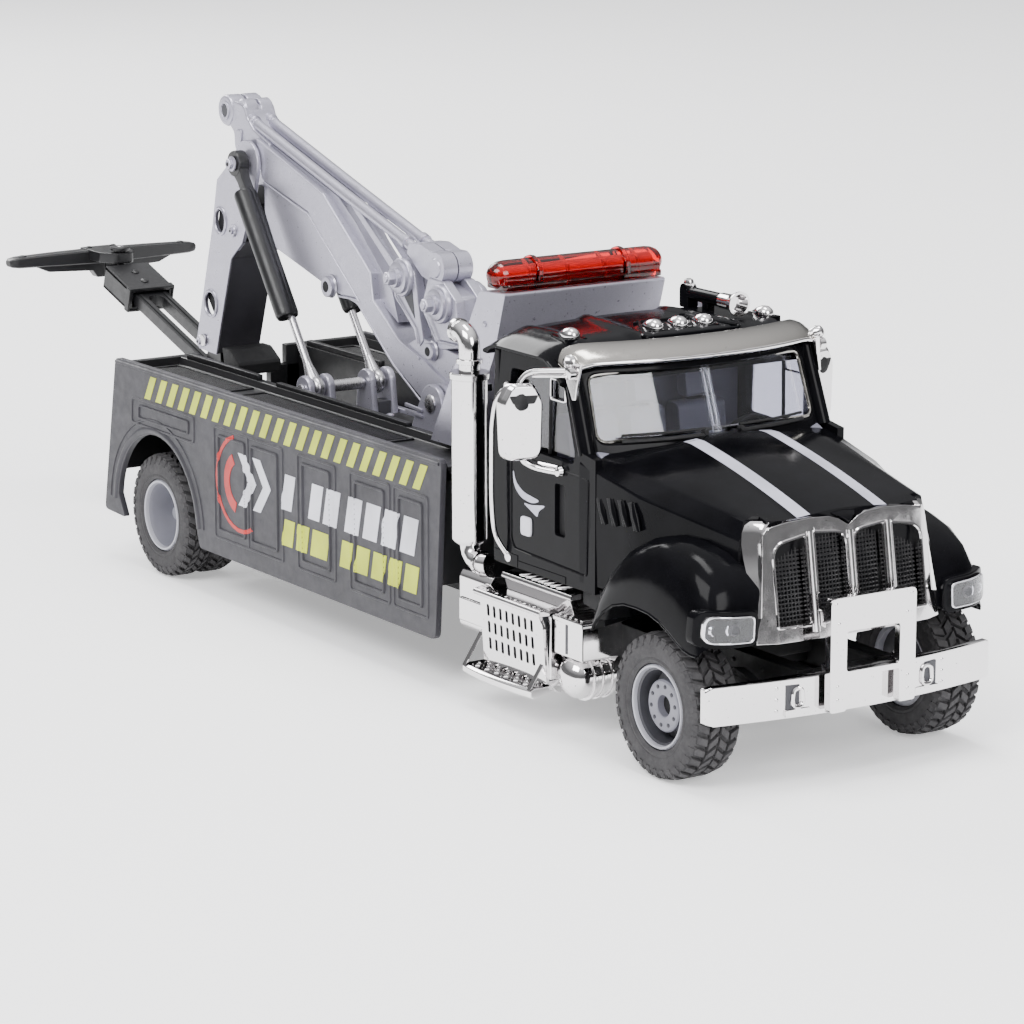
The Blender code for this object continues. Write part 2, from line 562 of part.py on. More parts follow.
def build_boom():
    boom_pivot = pivot("boom_pivot", (BOOM_PIVOT[0], 0, BOOM_PIVOT[1]))
    body = [(-50.4, 76.6), (-28.6, 69.7), (-12.9, 57.8), (-11.9, 53.3), (-4.0, 47.8), (4.0, 45.4)]
    body.append((12.0, 42.2))
    body += arc(BOOM_PIVOT, 3.3, 20, -110, 7)
    body += [(-5.5, 43.1), (-12.4, 47.5), (-18.4, 51.8), (-27.2, 53.0), (-46.2, 57.9), (-50.4, 68.0)]
    neck = [(-61.9, 78.3), (-60.2, 76.9), (-58.5, 76.3), (-47.5, 75.4), (-47.5, 76.0), (-50.2, 76.8)]
    neck += [(-50.2, 79.9), (-54.6, 84.9), (-56.2, 84.9), (-62.5, 83.4)]
    tongue = arc(HEAD_PIN, 3.2, 150, 330, 8) + [(-48.0, 66.0), (-48.0, 76.0), (-59.6, 77.4)]
    winch_arm = [(-8.4, 50.0), (-6.4, 60.2), (-2.6, 62.2), (9.6, 59.2), (13.2, 56.0), (11.4, 44.0)]
    winch_arm.append((2.0, 44.0))
    shapes = [slab_y(body, -3.6, 3.6), slab_y(neck, -3.4, 3.4), slab_y(tongue, -1.9, 1.9)]
    shapes += [disc_y((-63.5, 80.9), 2.8, -4.0, 4.0), slab_y(winch_arm, -2.6, 2.6)]
    drums = {"upper": (-2.6, 58.6), "lower": (9.3, 55.6)}
    holes = [disc_y(BOOM_PIVOT, 1.08, -9.0, 9.0, 16), disc_y(HEAD_PIN, 0.9, -9.0, 9.0, 16)]
    holes += [disc_y(centre, 1.5, -9.0, 9.0, 16) for centre in drums.values()]
    node("boom", "silver_paint", shapes, holes, parent=boom_pivot)
    rods = [tube([(-49.7, y, 77.9), (-2.0, y, 63.2), (1.0, y, 62.9)], 0.85, 12) for y in (-1.6, 1.6)]
    rods.append(box(-0.6, 1.4, -2.6, 2.6, 62.2, 63.6))
    node("tie_rods", "silver_paint", rods, parent=boom_pivot)
    for name, centre in drums.items():
        half = [(0.0, 1.2), (2.9, 1.2), (2.9, 2.9), (4.0, 2.9), (4.0, 1.9), (5.0, 1.9)]
        half += [(5.0, 1.3), (6.6, 1.3)]
        profile = [(6.6 - a, r) for a, r in reversed(half)] + [(6.6 + a, r) for a, r in half[1:]]
        drum = turned(profile, (centre[0], -6.6, centre[1]), (0, 1, 0))
        node(f"winch_drum_{name}", "silver_paint", [drum], parent=boom_pivot)
    pin = [(0.0, 1.2), (0.7, 1.2), (0.7, 0.8), (15.7, 0.8), (15.7, 1.2), (16.4, 1.2)]
    pin = turned(pin, (HEAD_PIN[0], -8.2, HEAD_PIN[1]), (0, 1, 0), 16)
    node("boom_head_pin", "steel", [pin], parent=boom_pivot)
    return boom_pivot


def build_cylinders(boom_pivot):
    """Each barrel hangs from the boom's head pin; its rod slides in it and holds the lift shaft."""
    head, shaft = Vector(HEAD_PIN), Vector(LIFT_SHAFT)
    length = (shaft - head).length
    down = (shaft - head) / length
    direction = (down.x, 0, down.y)
    barrel_pivot = pivot("lift_barrel_pivot", (HEAD_PIN[0], 0, HEAD_PIN[1]), boom_pivot)
    rod_pivot = pivot("lift_rod_slide", (LIFT_SHAFT[0], 0, LIFT_SHAFT[1]), barrel_pivot)
    start = (HEAD_PIN[0], -CYLINDER_Y, HEAD_PIN[1])
    for name, side in SIDES.items():
        case = [(1.0, 1.1), (5.6, 1.1), (5.6, 1.5), (6.0, 1.75), (30.8, 1.75), (31.2, 1.5)]
        barrel = [turned(case, start, direction, 20), disc_y(HEAD_PIN, 2.1, -7.2, -5.2, 20)]
        bore = [turned([(8.0, 0.98), (40.0, 0.98)], start, direction, 16)]
        bore.append(disc_y(HEAD_PIN, 0.95, -9.0, -4.0, 16))
        node("lift_barrel_" + name, "black_plastic", barrel, bore, parent=barrel_pivot, side=side)
        rod = [turned([(13.0, 0.7), (length - 1.4, 0.7)], start, direction, 16)]
        rod += [disc_y(LIFT_SHAFT, 1.95, -7.1, -5.3, 20)]
        eye = disc_y(LIFT_SHAFT, 1.15, -9.0, -4.0, 16)
        node("lift_rod_" + name, "steel", rod, [eye], parent=rod_pivot, side=side)


# ---------------------------------------------------------------- mast and wheel-lift arm
def build_mast(boom_pivot):
    mast_pivot = pivot("mast_pivot", (HEAD_PIN[0], 0, HEAD_PIN[1]), boom_pivot)
    outline = arc(HEAD_PIN, 3.4, 0, 130, 6)
    outline += [(-60.6, 71.8), (-65.3, 68.3), (-67.2, 59.9), (-74.0, 37.2), (-73.2, 36.0), (-66.0, 35.8)]
    outline += [(-60.6, 54.5), (-56.3, 58.0), (-52.4, 68.6)]
    slot = box(-80.0, -40.0, -2.2, 2.2, 67.6, 90.0)
    foot = box(-80.0, -67.6, -2.7, 2.7, 30.0, 42.6)
    holes = [disc_y(point, 2.1, -9.0, 9.0, 20) for point in ((-64.5, 60.8), (-68.6, 46.0))]
    holes += [disc_y(HEAD_PIN, 0.9, -9.0, 9.0, 16), disc_y(STINGER_PIN, 0.88, -9.0, 9.0, 16)]
    node("mast", "silver_paint", [slab_y(outline, -4.6, 4.6)], [slot, foot] + holes, parent=mast_pivot)
    pin = [(0.0, 1.1), (0.4, 1.1), (0.4, 0.8), (9.8, 0.8), (9.8, 1.1), (10.2, 1.1)]
    pin_mesh = turned(pin, (STINGER_PIN[0], -5.1, STINGER_PIN[1]), (0, 1, 0), 16)
    node("stinger_pin", "steel", [pin_mesh], parent=mast_pivot)
    return mast_pivot


def arm_point(along, up):
    """A point of the XZ plane, measured along the lift arm's sloping centre line and square to it."""
    c, s = math.cos(STINGER_SLOPE), math.sin(STINGER_SLOPE)
    return (STINGER_START[0] - along * c + up * s, STINGER_START[1] + along * s + up * c)


def arm_block(a0, a1, up0, up1, half):
    corners = [(a0, up0), (a1, up0), (a1, up1), (a0, up1)]
    return slab_y([arm_point(a, u) for a, u in corners], -half, half)


def arm_slot(a0, a1, half):
    """A slot through the arm with a round far end."""
    plan = [(a0, -half), (a1 - half, -half)] + arc((a1 - half, 0.0), half, -60, 60, 4)
    plan += [(a1 - half, half), (a0, half)]
    rings = []
    for up in (-4.0, 4.0):
        rings.append([(arm_point(a, up)[0], y, arm_point(a, up)[1]) for a, y in plan])
    return closed_mesh(rings)


def build_stinger(mast_pivot):
    px, pz = STINGER_PIN
    fold = pivot("stinger_fold_pivot", (px, 0, pz), mast_pivot)
    knuckle = arc(STINGER_PIN, 1.9, 160, 0, 8) + [(px + 2.2, 33.4), (px + 6.4, 33.0), (px + 6.4, 30.4)]
    knuckle += [(px + 1.0, 29.6), (px - 3.4, 31.0), (px - 3.2, 34.2)]
    arm = [arm_block(0.0, 37.0, -1.1, 1.1, 3.4), slab_y(knuckle, -2.4, 2.4)]
    holes = [arm_slot(8.0, 31.0, 1.6), disc_y(STINGER_PIN, 0.88, -9.0, 9.0, 16)]
    node("stinger_arm", "black_plastic", arm, holes, parent=fold)

    extend = pivot("stinger_extend_slide", (SWIVEL[0], 0, 44.0), fold)
    cx, cy = SWIVEL
    sleeve = [arm_block(32.4, 42.4, -2.1, 2.1, 4.4), disc_z((cx, cy), 2.6, 42.6, 45.8)]
    sleeve.append(box(cx, cx + 4.0, -2.4, 2.4, 42.9, 45.6))
    cavity = arm_block(30.0, 41.4, -1.4, 1.4, 3.7)
    swivel_hole = disc_z((cx, cy), 0.98, 40.0, 50.0, 16)
    node("stinger_sleeve", "black_plastic", sleeve, [cavity, swivel_hole], parent=extend)
    pin = turned([(0.0, 0.9), (6.0, 0.9), (6.0, 1.7), (6.7, 1.5)], (cx, cy, 42.9), (0, 0, 1), 20)
    node("swivel_pin", "steel", [pin], parent=extend)

    swivel = pivot("crossbar_swivel_pivot", (cx, cy, 47.0), extend)
    plan = [(cx + 1.9, -1.8), (cx + 1.9, 1.8), (cx - 1.6, 3.6)]
    plan += [(-122.8, 3.6), (-122.8, -3.6), (cx - 1.6, -3.6)]
    bar = [box(-121.7, -118.5, -20.2, 20.2, 46.0, 48.0), slab_z(plan, 46.4, 48.4)]
    web = [(-15.5, 46.3), (-12.0, 44.6), (-2.6, 44.2), (-1.6, 42.6)]
    web += [(-y, z) for y, z in reversed(web)]
    bar.append(slab_x(web, -121.2, -119.0))
    hole = disc_z((cx, cy), 1.0, 40.0, 52.0, 16)
    node("crossbar", "black_plastic", bar, [hole], parent=swivel)


def main():
    clear_scene()
    build_chassis()
    build_all_wheels()
    build_cab()
    build_body()
    build_boom_base()
    boom_pivot = build_boom()
    build_cylinders(boom_pivot)
    mast_pivot = build_mast(boom_pivot)
    build_stinger(mast_pivot)


main()
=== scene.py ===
"""Visual model of the toy tow truck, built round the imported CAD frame.

Sizes are in millimetres in the CAD's own frame (+X forward, +Y to the truck's left, +Z up); the
right side, y below 0, is drawn first and mirrored where both sides are alike.
"""

import json
import math

import bmesh
import bpy
from mathutils import Matrix, Vector
from mathutils.bvhtree import BVHTree


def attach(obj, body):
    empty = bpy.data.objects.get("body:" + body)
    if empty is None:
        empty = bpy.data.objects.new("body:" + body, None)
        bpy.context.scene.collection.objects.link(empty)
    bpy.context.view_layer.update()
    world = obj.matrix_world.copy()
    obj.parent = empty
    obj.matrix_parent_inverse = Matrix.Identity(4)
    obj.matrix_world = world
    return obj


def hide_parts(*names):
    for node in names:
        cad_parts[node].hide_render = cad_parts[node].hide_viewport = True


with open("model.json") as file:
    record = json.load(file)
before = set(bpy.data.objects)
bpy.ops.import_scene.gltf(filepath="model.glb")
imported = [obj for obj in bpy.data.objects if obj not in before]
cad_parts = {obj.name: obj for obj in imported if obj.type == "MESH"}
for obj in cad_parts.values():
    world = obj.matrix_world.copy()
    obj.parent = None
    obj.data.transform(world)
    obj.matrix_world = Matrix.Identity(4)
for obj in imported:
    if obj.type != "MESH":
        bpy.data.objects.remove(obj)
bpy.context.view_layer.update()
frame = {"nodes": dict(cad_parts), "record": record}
NODES = frame["nodes"]

TYRE_R = 11.1
FRONT_AXLE_X = 104.8
REAR_AXLE_X = -49.85
HEAD_PIN = (-54.3, 72.5)
BOOM_PIVOT = (10, 39)
LIFT_SHAFT = (-27.5, 35.8)
STINGER_PIN = (-71, 37.8)
SWIVEL_X = -112.5
PANEL_Y = -26.3
SIDES = {"right": 1, "left": -1}
MM = 0.001
SOFT_ANGLE = math.radians(38)  # edges sharper than this stay sharp in the shading
BEVEL_ANGLE = math.radians(30)  # edges sharper than this get the bevel
NOISE_LOW, NOISE_HIGH = 0.3, 0.7  # where nearly all of a noise texture's values lie
PLASTIC_IOR = 1.49


# ---------------------------------------------------------------- materials
def map_range(tree, fac, from_min, from_max, to_min, to_max):
    """A node that stretches one range of values onto another."""
    out = tree.nodes.new("ShaderNodeMapRange")
    for key, value in zip(("From Min", "From Max", "To Min", "To Max"), (from_min, from_max, to_min, to_max)):
        out.inputs[key].default_value = value
    tree.links.new(fac, out.inputs["Value"])
    return out.outputs["Result"]


class Shader:
    """A Principled material with nodes for its colour, roughness and bump."""

    def __init__(self, name, colour, roughness, metallic=0, **sockets):
        self.material = bpy.data.materials.new(name)
        self.material.use_nodes = True
        self.tree = self.material.node_tree
        self.shader = self.tree.nodes["Principled BSDF"]
        self.set("Base Color", (*colour, 1))
        self.set("Roughness", roughness)
        self.set("Metallic", metallic)
        self.colour = colour
        for socket, value in sockets.items():
            self.set(socket.replace("_", " "), value)
        self.place = self.node("ShaderNodeTexCoord").outputs["Object"]

    def set(self, socket, value):
        self.shader.inputs[socket].default_value = value

    def node(self, kind):
        return self.tree.nodes.new(kind)

    def link(self, a, b):
        self.tree.links.new(a, b)

    def noise(self, per_mm, detail=3, rough=0.5, stretch=(1, 1, 1)):
        """Noise whose features are about 1/per_mm millimetres across."""
        mapping = self.node("ShaderNodeMapping")
        mapping.inputs["Scale"].default_value = [1000 * per_mm * s for s in stretch]
        self.link(self.place, mapping.inputs["Vector"])
        noise = self.node("ShaderNodeTexNoise")
        for key, value in (("Scale", 1), ("Detail", detail), ("Roughness", rough)):
            noise.inputs[key].default_value = value
        self.link(mapping.outputs["Vector"], noise.inputs["Vector"])
        return noise.outputs["Fac"]

    def ramp(self, fac, stops):
        """A colour ramp; stops are (position, colour)."""
        ramp = self.node("ShaderNodeValToRGB")
        while len(ramp.color_ramp.elements) < len(stops):
            ramp.color_ramp.elements.new(0.5)
        for element, (position, value) in zip(ramp.color_ramp.elements, stops):
            element.position = position
            element.color = (*value, 1)
        self.link(fac, ramp.inputs["Fac"])
        return ramp.outputs["Color"]

    def tint(self, fac, low, high):
        """Colour runs from low to high times the base colour as fac does."""
        stops = [(NOISE_LOW, low), (NOISE_HIGH, high)]
        stops = [(place, tuple(min(1, c * factor) for c in self.colour)) for place, factor in stops]
        self.link(self.ramp(fac, stops), self.shader.inputs["Base Color"])

    def vary_roughness(self, fac, low, high):
        roughness = map_range(self.tree, fac, NOISE_LOW, NOISE_HIGH, low, high)
        self.link(roughness, self.shader.inputs["Roughness"])

    def bump(self, height, depth_mm, strength=1):
        bump = self.node("ShaderNodeBump")
        bump.inputs["Strength"].default_value = strength
        bump.inputs["Distance"].default_value = depth_mm * MM
        self.link(height, bump.inputs["Height"])
        previous = self.shader.inputs["Normal"].links
        if previous:
            self.link(previous[0].from_socket, bump.inputs["Normal"])
        self.link(bump.outputs["Normal"], self.shader.inputs["Normal"])


def gloss_paint(name, colour, roughness):
    """Sprayed gloss enamel: orange peel, faint dust and fine polishing haze."""
    s = Shader(name, colour, roughness, Specular_IOR_Level=0.07)
    s.tint(s.noise(0.25), 0.75, 1.3)
    s.vary_roughness(s.noise(0.9, 5, 0.7), roughness * 0.7, roughness * 1.7)
    s.bump(s.noise(0.55, 2), 0.012, 0.5)
    s.bump(s.noise(9, 2), 0.0015, 0.4)
    return s.material


def moulded(name, colour, roughness, grain=3.5, depth=0.02, level=0.5):
    """Injection-moulded plastic: spark-eroded grain, flow marks and rubbed patches."""
    s = Shader(name, colour, roughness, Specular_IOR_Level=level)
    s.tint(s.noise(0.12, 4), 0.85, 1.2)
    s.vary_roughness(s.noise(0.5, 6, 0.65), roughness * 0.82, min(1, roughness * 1.18))
    s.bump(s.noise(grain, 3, 0.6), depth, 0.5)
    s.bump(s.noise(0.2, 2, stretch=(0.4, 1, 1)), 0.05, 0.25)
    return s.material


def cast_silver(name):
    """Silver lacquer over die-cast zinc: metal flake and soft waves."""
    s = Shader(name, (0.40, 0.39, 0.46), 0.33, 0.66, Specular_IOR_Level=0.5)
    flake = s.noise(14, 1)
    s.tint(flake, 0.8, 1.22)
    s.vary_roughness(s.noise(1.2, 5, 0.7), 0.25, 0.44)
    s.bump(s.noise(0.35, 3), 0.03, 0.5)
    s.bump(flake, 0.003, 0.6)
    return s.material


def chromed(name, colour, roughness, waves=0.02):
    """Vacuum-metallised plastic: slight waves, haze, and pin-holes where the plating is thin."""
    s = Shader(name, colour, roughness, 1)
    haze = s.noise(0.6, 6, 0.7)
    s.vary_roughness(haze, roughness * 0.6, roughness * 2.2)
    spots = s.ramp(s.noise(2.4, 2, 0.4), [(0, colour), (0.70, colour),
        (0.78, tuple(c * 0.45 for c in colour))])
    s.link(spots, s.shader.inputs["Base Color"])
    s.bump(s.noise(0.18, 2), waves, 0.6)
    s.bump(s.noise(5, 2), 0.0012, 0.5)
    return s.material


def turned_steel(name):
    """Bright steel with fine turning marks."""
    s = Shader(name, (0.62, 0.61, 0.63), 0.26, 1)
    scratch = s.noise(6, 4, 0.6, stretch=(0.15, 2.5, 0.15))
    s.tint(scratch, 0.82, 1.12)
    s.vary_roughness(scratch, 0.18, 0.38)
    s.bump(scratch, 0.004, 0.5)
    return s.material


def tyre_rubber(name):
    """Black rubber with dust in its pores."""
    s = Shader(name, (0.030, 0.029, 0.031), 0.72, Specular_IOR_Level=0.4)
    dust = s.noise(0.35, 6, 0.65)
    s.link(s.ramp(dust, [(0.35, (0.026, 0.025, 0.027)), (0.75, (0.05, 0.048, 0.05))]),
        s.shader.inputs["Base Color"])
    s.vary_roughness(s.noise(1.5, 5, 0.7), 0.6, 0.86)
    s.bump(s.noise(4, 4, 0.7), 0.03, 0.5)
    return s.material


def clear_plastic(name, colour, roughness, shine=0.5):
    """Clear moulded plastic, slightly wavy; shine is the strength of its reflections."""
    s = Shader(name, colour, roughness, IOR=PLASTIC_IOR, Transmission_Weight=1, Specular_IOR_Level=shine)
    s.vary_roughness(s.noise(0.7, 5, 0.6), roughness * 0.5, roughness * 2)
    s.bump(s.noise(0.25, 2), 0.02, 0.4)
    return s.material


def pale_floor(name):
    """Seamless white paper, evenly lit: hardly any texture."""
    white = (0.93, 0.93, 0.935)
    s = Shader(name, white, 0.9, Specular_IOR_Level=0.05, Emission_Strength=0.5)
    s.shader.inputs["Emission Color"].default_value = (*white, 1)
    s.tint(s.noise(0.02, 2), 0.995, 1.005)
    s.vary_roughness(s.noise(0.05, 2), 0.88, 0.92)
    s.bump(s.noise(2, 2), 0.001, 0.1)
    return s.material


MATERIALS = {
    "black": gloss_paint("gloss_black", (0.0028, 0.0028, 0.0036), 0.11),
    "charcoal": moulded("charcoal_moulding", (0.028, 0.027, 0.033), 0.5, 3, 0.02, 0.4),
    "plastic": moulded("black_moulding", (0.0075, 0.0075, 0.0085), 0.38, 4, 0.012, 0.4),
    # matt_black is the colour of the real black parts, and is also laid in bores, slots and hollows as
    # painted shade
    "matt": moulded("matt_black", (0.010, 0.010, 0.011), 0.62, 4, 0.02, 0.3),
    "grey": moulded("grey_moulding", (0.16, 0.16, 0.20), 0.5),
    "rim": moulded("rim_grey", (0.16, 0.16, 0.19), 0.42, 3, 0.01),
    # rim_shadow is painted shade in the front rims' wells and in patches that stand in for recesses and gaps;
    # the front wheel nuts, the headlamp centres and a seam on the battery box use it too
    "rim_dark": moulded("rim_shadow", (0.035, 0.035, 0.042), 0.5, 3, 0.01),
    "rim_lip": moulded("rim_lip", (0.34, 0.34, 0.38), 0.36, 3, 0.008),
    "silver": cast_silver("silver_lacquer"),
    "chrome": chromed("plated_chrome", (0.76, 0.745, 0.75), 0.06),
    "smoke_chrome": chromed("plated_chrome_warm", (0.40, 0.385, 0.36), 0.12),
    "steel": turned_steel("turned_steel"),
    "tyre": tyre_rubber("tyre_rubber"),
    "red": clear_plastic("red_lens", (0.80, 0.002, 0.005), 0.05),
    "red_core": moulded("red_core", (0.55, 0.004, 0.006), 0.4, 2, 0.02),
    "clear": clear_plastic("clear_lens", (0.94, 0.95, 1), 0.03, shine=0.25),
    "glazing": clear_plastic("glazing", (0.88, 0.89, 0.97), 0.02),
    "smoked": clear_plastic("smoked_glazing", (0.42, 0.42, 0.48), 0.03, shine=0.12),
    "yellow_ink": moulded("yellow_ink", (0.46, 0.52, 0.018), 0.5, 5, 0.008),
    "grey_ink": moulded("grey_ink", (0.42, 0.42, 0.50), 0.42, 5, 0.006),
    "white_ink": moulded("white_ink", (0.62, 0.62, 0.68), 0.5, 5, 0.006),
    "red_ink": moulded("red_ink", (0.42, 0.02, 0.018), 0.5, 5, 0.006),
    "floor": pale_floor("pale_floor"),
}


# ---------------------------------------------------------------- shapes
def arc(centre, radius, start, end, steps):
    """Points along an arc, from the start angle to the end angle in degrees."""
    turn = (end - start) / steps
    angles = [math.radians(start + turn * i) for i in range(steps + 1)]
    return [(centre[0] + radius * math.cos(a), centre[1] + radius * math.sin(a)) for a in angles]


def circle(centre, radius, sides):
    return arc(centre, radius, 0, 360 - 360 / sides, sides - 1)


def rounded(outline, radius, steps=4):
    """The outline with each corner rounded; radius is one number or one for each corner."""
    points = []
    count = len(outline)
    for i, corner in enumerate(outline):
        r = radius[i] if isinstance(radius, (list, tuple)) else radius
        corner = Vector(corner)
        before = Vector(outline[i - 1]) - corner
        after = Vector(outline[(i + 1) % count]) - corner
        reach = min(r, before.length * 0.48, after.length * 0.48)
        if reach < 0.02:
            points.append(tuple(corner))
            continue
        a = corner + before.normalized() * reach
        b = corner + after.normalized() * reach
        for k in range(steps + 1):
            t = k / steps
            points.append(tuple(a * (1 - t) ** 2 + corner * 2 * t * (1 - t) + b * t ** 2))
    return points


def rect(x0, x1, z0, z1):
    return [(x0, z0), (x1, z0), (x1, z1), (x0, z1)]


def span(side, a, b):
    """Two distances from the middle plane as Y values on one side, lower first."""
    return sorted((side * a, side * b))


def turns(sides):
    """The cosine and sine of each step of a full turn."""
    angles = [2 * math.pi * k / sides for k in range(sides)]
    return [(math.cos(a), math.sin(a)) for a in angles]


def soften(bm, offset, slide):
    """Bevels a shape's sharp edges."""
    sharp = [e for e in bm.edges if len(e.link_faces) == 2 and e.calc_face_angle(0) > BEVEL_ANGLE]
    bmesh.ops.bevel(
        bm, geom=sharp, offset=offset, offset_type="OFFSET", segments=2, profile=0.5,
        affect="EDGES", clamp_overlap=True, loop_slide=slide,
    )


def smooth_path(points, steps=6):
    """A Catmull-Rom curve through the points."""
    pts = [Vector(p) for p in points]
    pts = [pts[0] * 2 - pts[1]] + pts + [pts[-1] * 2 - pts[-2]]
    path = []
    for a, b, c, d in zip(pts, pts[1:], pts[2:], pts[3:]):
        for k in range(steps):
            t = k / steps
            path.append(0.5 * (b * 2 + (c - a) * t + (a * 2 - b * 5 + c * 4 - d) * t ** 2
                + (b * 3 - a - c * 3 + d) * t ** 3))
    return path + [pts[-2]]


class Piece:
    """Closed shapes gathered into one mesh, each with its own bevel.

    finish is the material of every shape that names no other. Pieces of the left side are drawn
    on the right, where Y is below 0, and mirrored.
    """

    def __init__(self, name, finish, body="truck", side=1):
        self.name, self.finish, self.body, self.side = name, finish, body, side
        self.mesh = bmesh.new()
        self.finishes = []

    def take(self, bm, bevel=0, finish=None):
        """Turns a closed shape's faces outward, bevels it and joins it to the piece."""
        finish = finish or self.finish
        bmesh.ops.recalc_face_normals(bm, faces=bm.faces)
        if bm.calc_volume(signed=True) < 0:
            bmesh.ops.reverse_faces(bm, faces=bm.faces)
        if bevel:
            soften(bm, bevel, True)
        if finish not in self.finishes:
            self.finishes.append(finish)
        index = self.finishes.index(finish)
        for face in bm.faces:
            face.material_index = index
            face.smooth = True
        mesh = bpy.data.meshes.new("scratch")
        bm.to_mesh(mesh)
        bm.free()
        self.mesh.from_mesh(mesh)
        bpy.data.meshes.remove(mesh)

    def loft(self, rings, bevel=0, wrap=False, finish=None):
        """A skin over rings of points, closed at both ends or, with wrap, joined end to end."""
        bm = bmesh.new()
        rows = [[bm.verts.new(p) for p in ring] for ring in rings]
        pairs = list(zip(rows, rows[1:]))
        if wrap:
            pairs.append((rows[-1], rows[0]))
        else:
            bm.faces.new(rows[0])
            bm.faces.new(rows[-1])
        for a, b in pairs:
            for i in range(len(a)):
                j = (i + 1) % len(a)
                bm.faces.new((a[i], a[j], b[j], b[i]))
        self.take(bm, bevel, finish)

    def slab_y(self, outline, y0, y1, bevel=0, **how):
        self.loft([[(x, y, z) for x, z in outline] for y in (y0, y1)], bevel, **how)

    def slab_x(self, outline, x0, x1, bevel=0, **how):
        self.loft([[(x, y, z) for y, z in outline] for x in (x0, x1)], bevel, **how)

    def slab_z(self, outline, z0, z1, bevel=0, **how):
        self.loft([[(x, y, z) for x, y in outline] for z in (z0, z1)], bevel, **how)

    def box(self, x0, x1, y0, y1, z0, z1, bevel=0.15, **how):
        self.slab_z(rect(x0, x1, y0, y1), z0, z1, bevel, **how)

    def turned(self, profile, start, direction, sides=32, **how):
        """Discs of (distance along, radius) about a line, closed at both ends."""
        along = Vector(direction).normalized()
        side = along.orthogonal().normalized()
        other = along.cross(side)
        rings = []
        for distance, radius in profile:
            middle = Vector(start) + along * distance
            rings.append([middle + (side * c + other * s) * radius for c, s in turns(sides)])
        self.loft(rings, **how)

    def ringed(self, profile, centre, sides=48, **how):
        """A closed profile of (radius, y) turned about the Y axis through a point of the XZ plane."""
        x, z = centre
        self.loft([[(x + r * s, y, z + r * c) for r, y in profile]
            for c, s in turns(sides)], wrap=True, **how)

    def tube(self, points, radius, sides=12, **how):
        """A round bar through points; radius is one number or one for each point."""
        points = [Vector(p) for p in points]
        rings = []
        side = (points[1] - points[0]).orthogonal().normalized()
        for i, point in enumerate(points):
            along = (points[min(i + 1, len(points) - 1)] - points[max(i - 1, 0)]).normalized()
            side = (side - along * side.dot(along)).normalized()
            other = along.cross(side)
            r = radius[i] if isinstance(radius, (list, tuple)) else radius
            rings.append([point + (side * c + other * s) * r for c, s in turns(sides)])
        self.loft(rings, **how)

    def plate(self, outline, holes, to_world, depth, bevel=0, slices=(), **how):
        """A plate with holes. to_world(u, v, w) places a point; w runs from 0 to depth.

        slices are the u and v values of extra cuts, which let a wide plate follow a curve.
        """
        bm = bmesh.new()
        edges = []
        for loop in [outline] + list(holes):
            verts = [bm.verts.new((u, v, 0)) for u, v in loop]
            edges += [bm.edges.new((a, b)) for a, b in zip(verts, verts[1:] + verts[:1])]
        bmesh.ops.triangle_fill(bm, edges=edges, use_beauty=True, normal=(0, 0, 1))
        bmesh.ops.dissolve_limit(bm, angle_limit=0.01, verts=bm.verts, edges=bm.edges)
        extruded = bmesh.ops.extrude_face_region(bm, geom=bm.faces[:])["geom"]
        raised = [g for g in extruded if isinstance(g, bmesh.types.BMVert)]
        bmesh.ops.translate(bm, vec=(0, 0, depth), verts=raised)
        bmesh.ops.recalc_face_normals(bm, faces=bm.faces)
        if bevel:
            soften(bm, bevel, False)
        for axis, places in enumerate(slices):
            normal = Vector((axis == 0, axis == 1, 0))
            for place in places:
                geom = bm.verts[:] + bm.edges[:] + bm.faces[:]
                bmesh.ops.bisect_plane(bm, geom=geom, plane_co=normal * place, plane_no=normal)
        for vert in bm.verts:
            vert.co = to_world(*vert.co)
        self.take(bm, **how)

    def ridge(self, points, width, height, face_y, closed=True):
        """A raised line along points of the XZ plane, standing out of a panel that faces -Y."""
        pts = [Vector(p) for p in points]
        count = len(pts)
        rings = []
        for i, p in enumerate(pts):
            before = pts[i - 1] if closed or i else p * 2 - pts[1]
            after = pts[(i + 1) % count] if closed or i < count - 1 else p * 2 - pts[i - 1]
            a, b = (p - before).normalized(), (after - p).normalized()
            mid = (a + b).normalized()
            out = Vector((-mid.y, mid.x)) / max(0.4, mid.dot(a))
            ring = []
            for offset, up in ((-0.5, -0.3), (-0.5, 0), (-0.28, 0.85), (0, 1), (0.28, 0.85),
                    (0.5, 0), (0.5, -0.3)):
                q = p + out * offset * width
                ring.append((q.x, face_y - up * height, q.y))
            rings.append(ring)
        self.loft(rings, wrap=closed)

    def decal(self, corners, finish, tree, lift=0.07, cell=0.2):
        """A printed patch laid on the surface that tree holds, seen along +Y. corners are in XZ."""
        a, b, c, d = [Vector(p) for p in corners]
        nu = max(1, int(max((b - a).length, (c - d).length) / cell))
        nv = max(1, int(max((d - a).length, (c - b).length) / cell))
        bm = bmesh.new()
        tops, feet = [], []
        for j in range(nv + 1):
            for i in range(nu + 1):
                u, v = i / nu, j / nv
                p = (a * (1 - u) + b * u) * (1 - v) + (d * (1 - u) + c * u) * v
                hit = tree.ray_cast(Vector((p.x, -60, p.y)), Vector((0, 1, 0)))[0]
                y = hit.y if hit else PANEL_Y
                tops.append(bm.verts.new((p.x, y - lift, p.y)))
                feet.append(bm.verts.new((p.x, y + 0.08, p.y)))
        w = nu + 1
        for j in range(nv):
            for i in range(nu):
                k = j * w + i
                bm.faces.new((tops[k], tops[k + 1], tops[k + w + 1], tops[k + w]))
                bm.faces.new((feet[k], feet[k + w], feet[k + w + 1], feet[k + 1]))
        rim = list(range(w)) + [j * w + nu for j in range(1, nv + 1)]
        rim += [nv * w + i for i in range(nu - 1, -1, -1)] + [j * w for j in range(nv - 1, 0, -1)]
        for p, q in zip(rim, rim[1:] + rim[:1]):
            bm.faces.new((tops[p], feet[p], feet[q], tops[q]))
        self.take(bm, finish=finish)

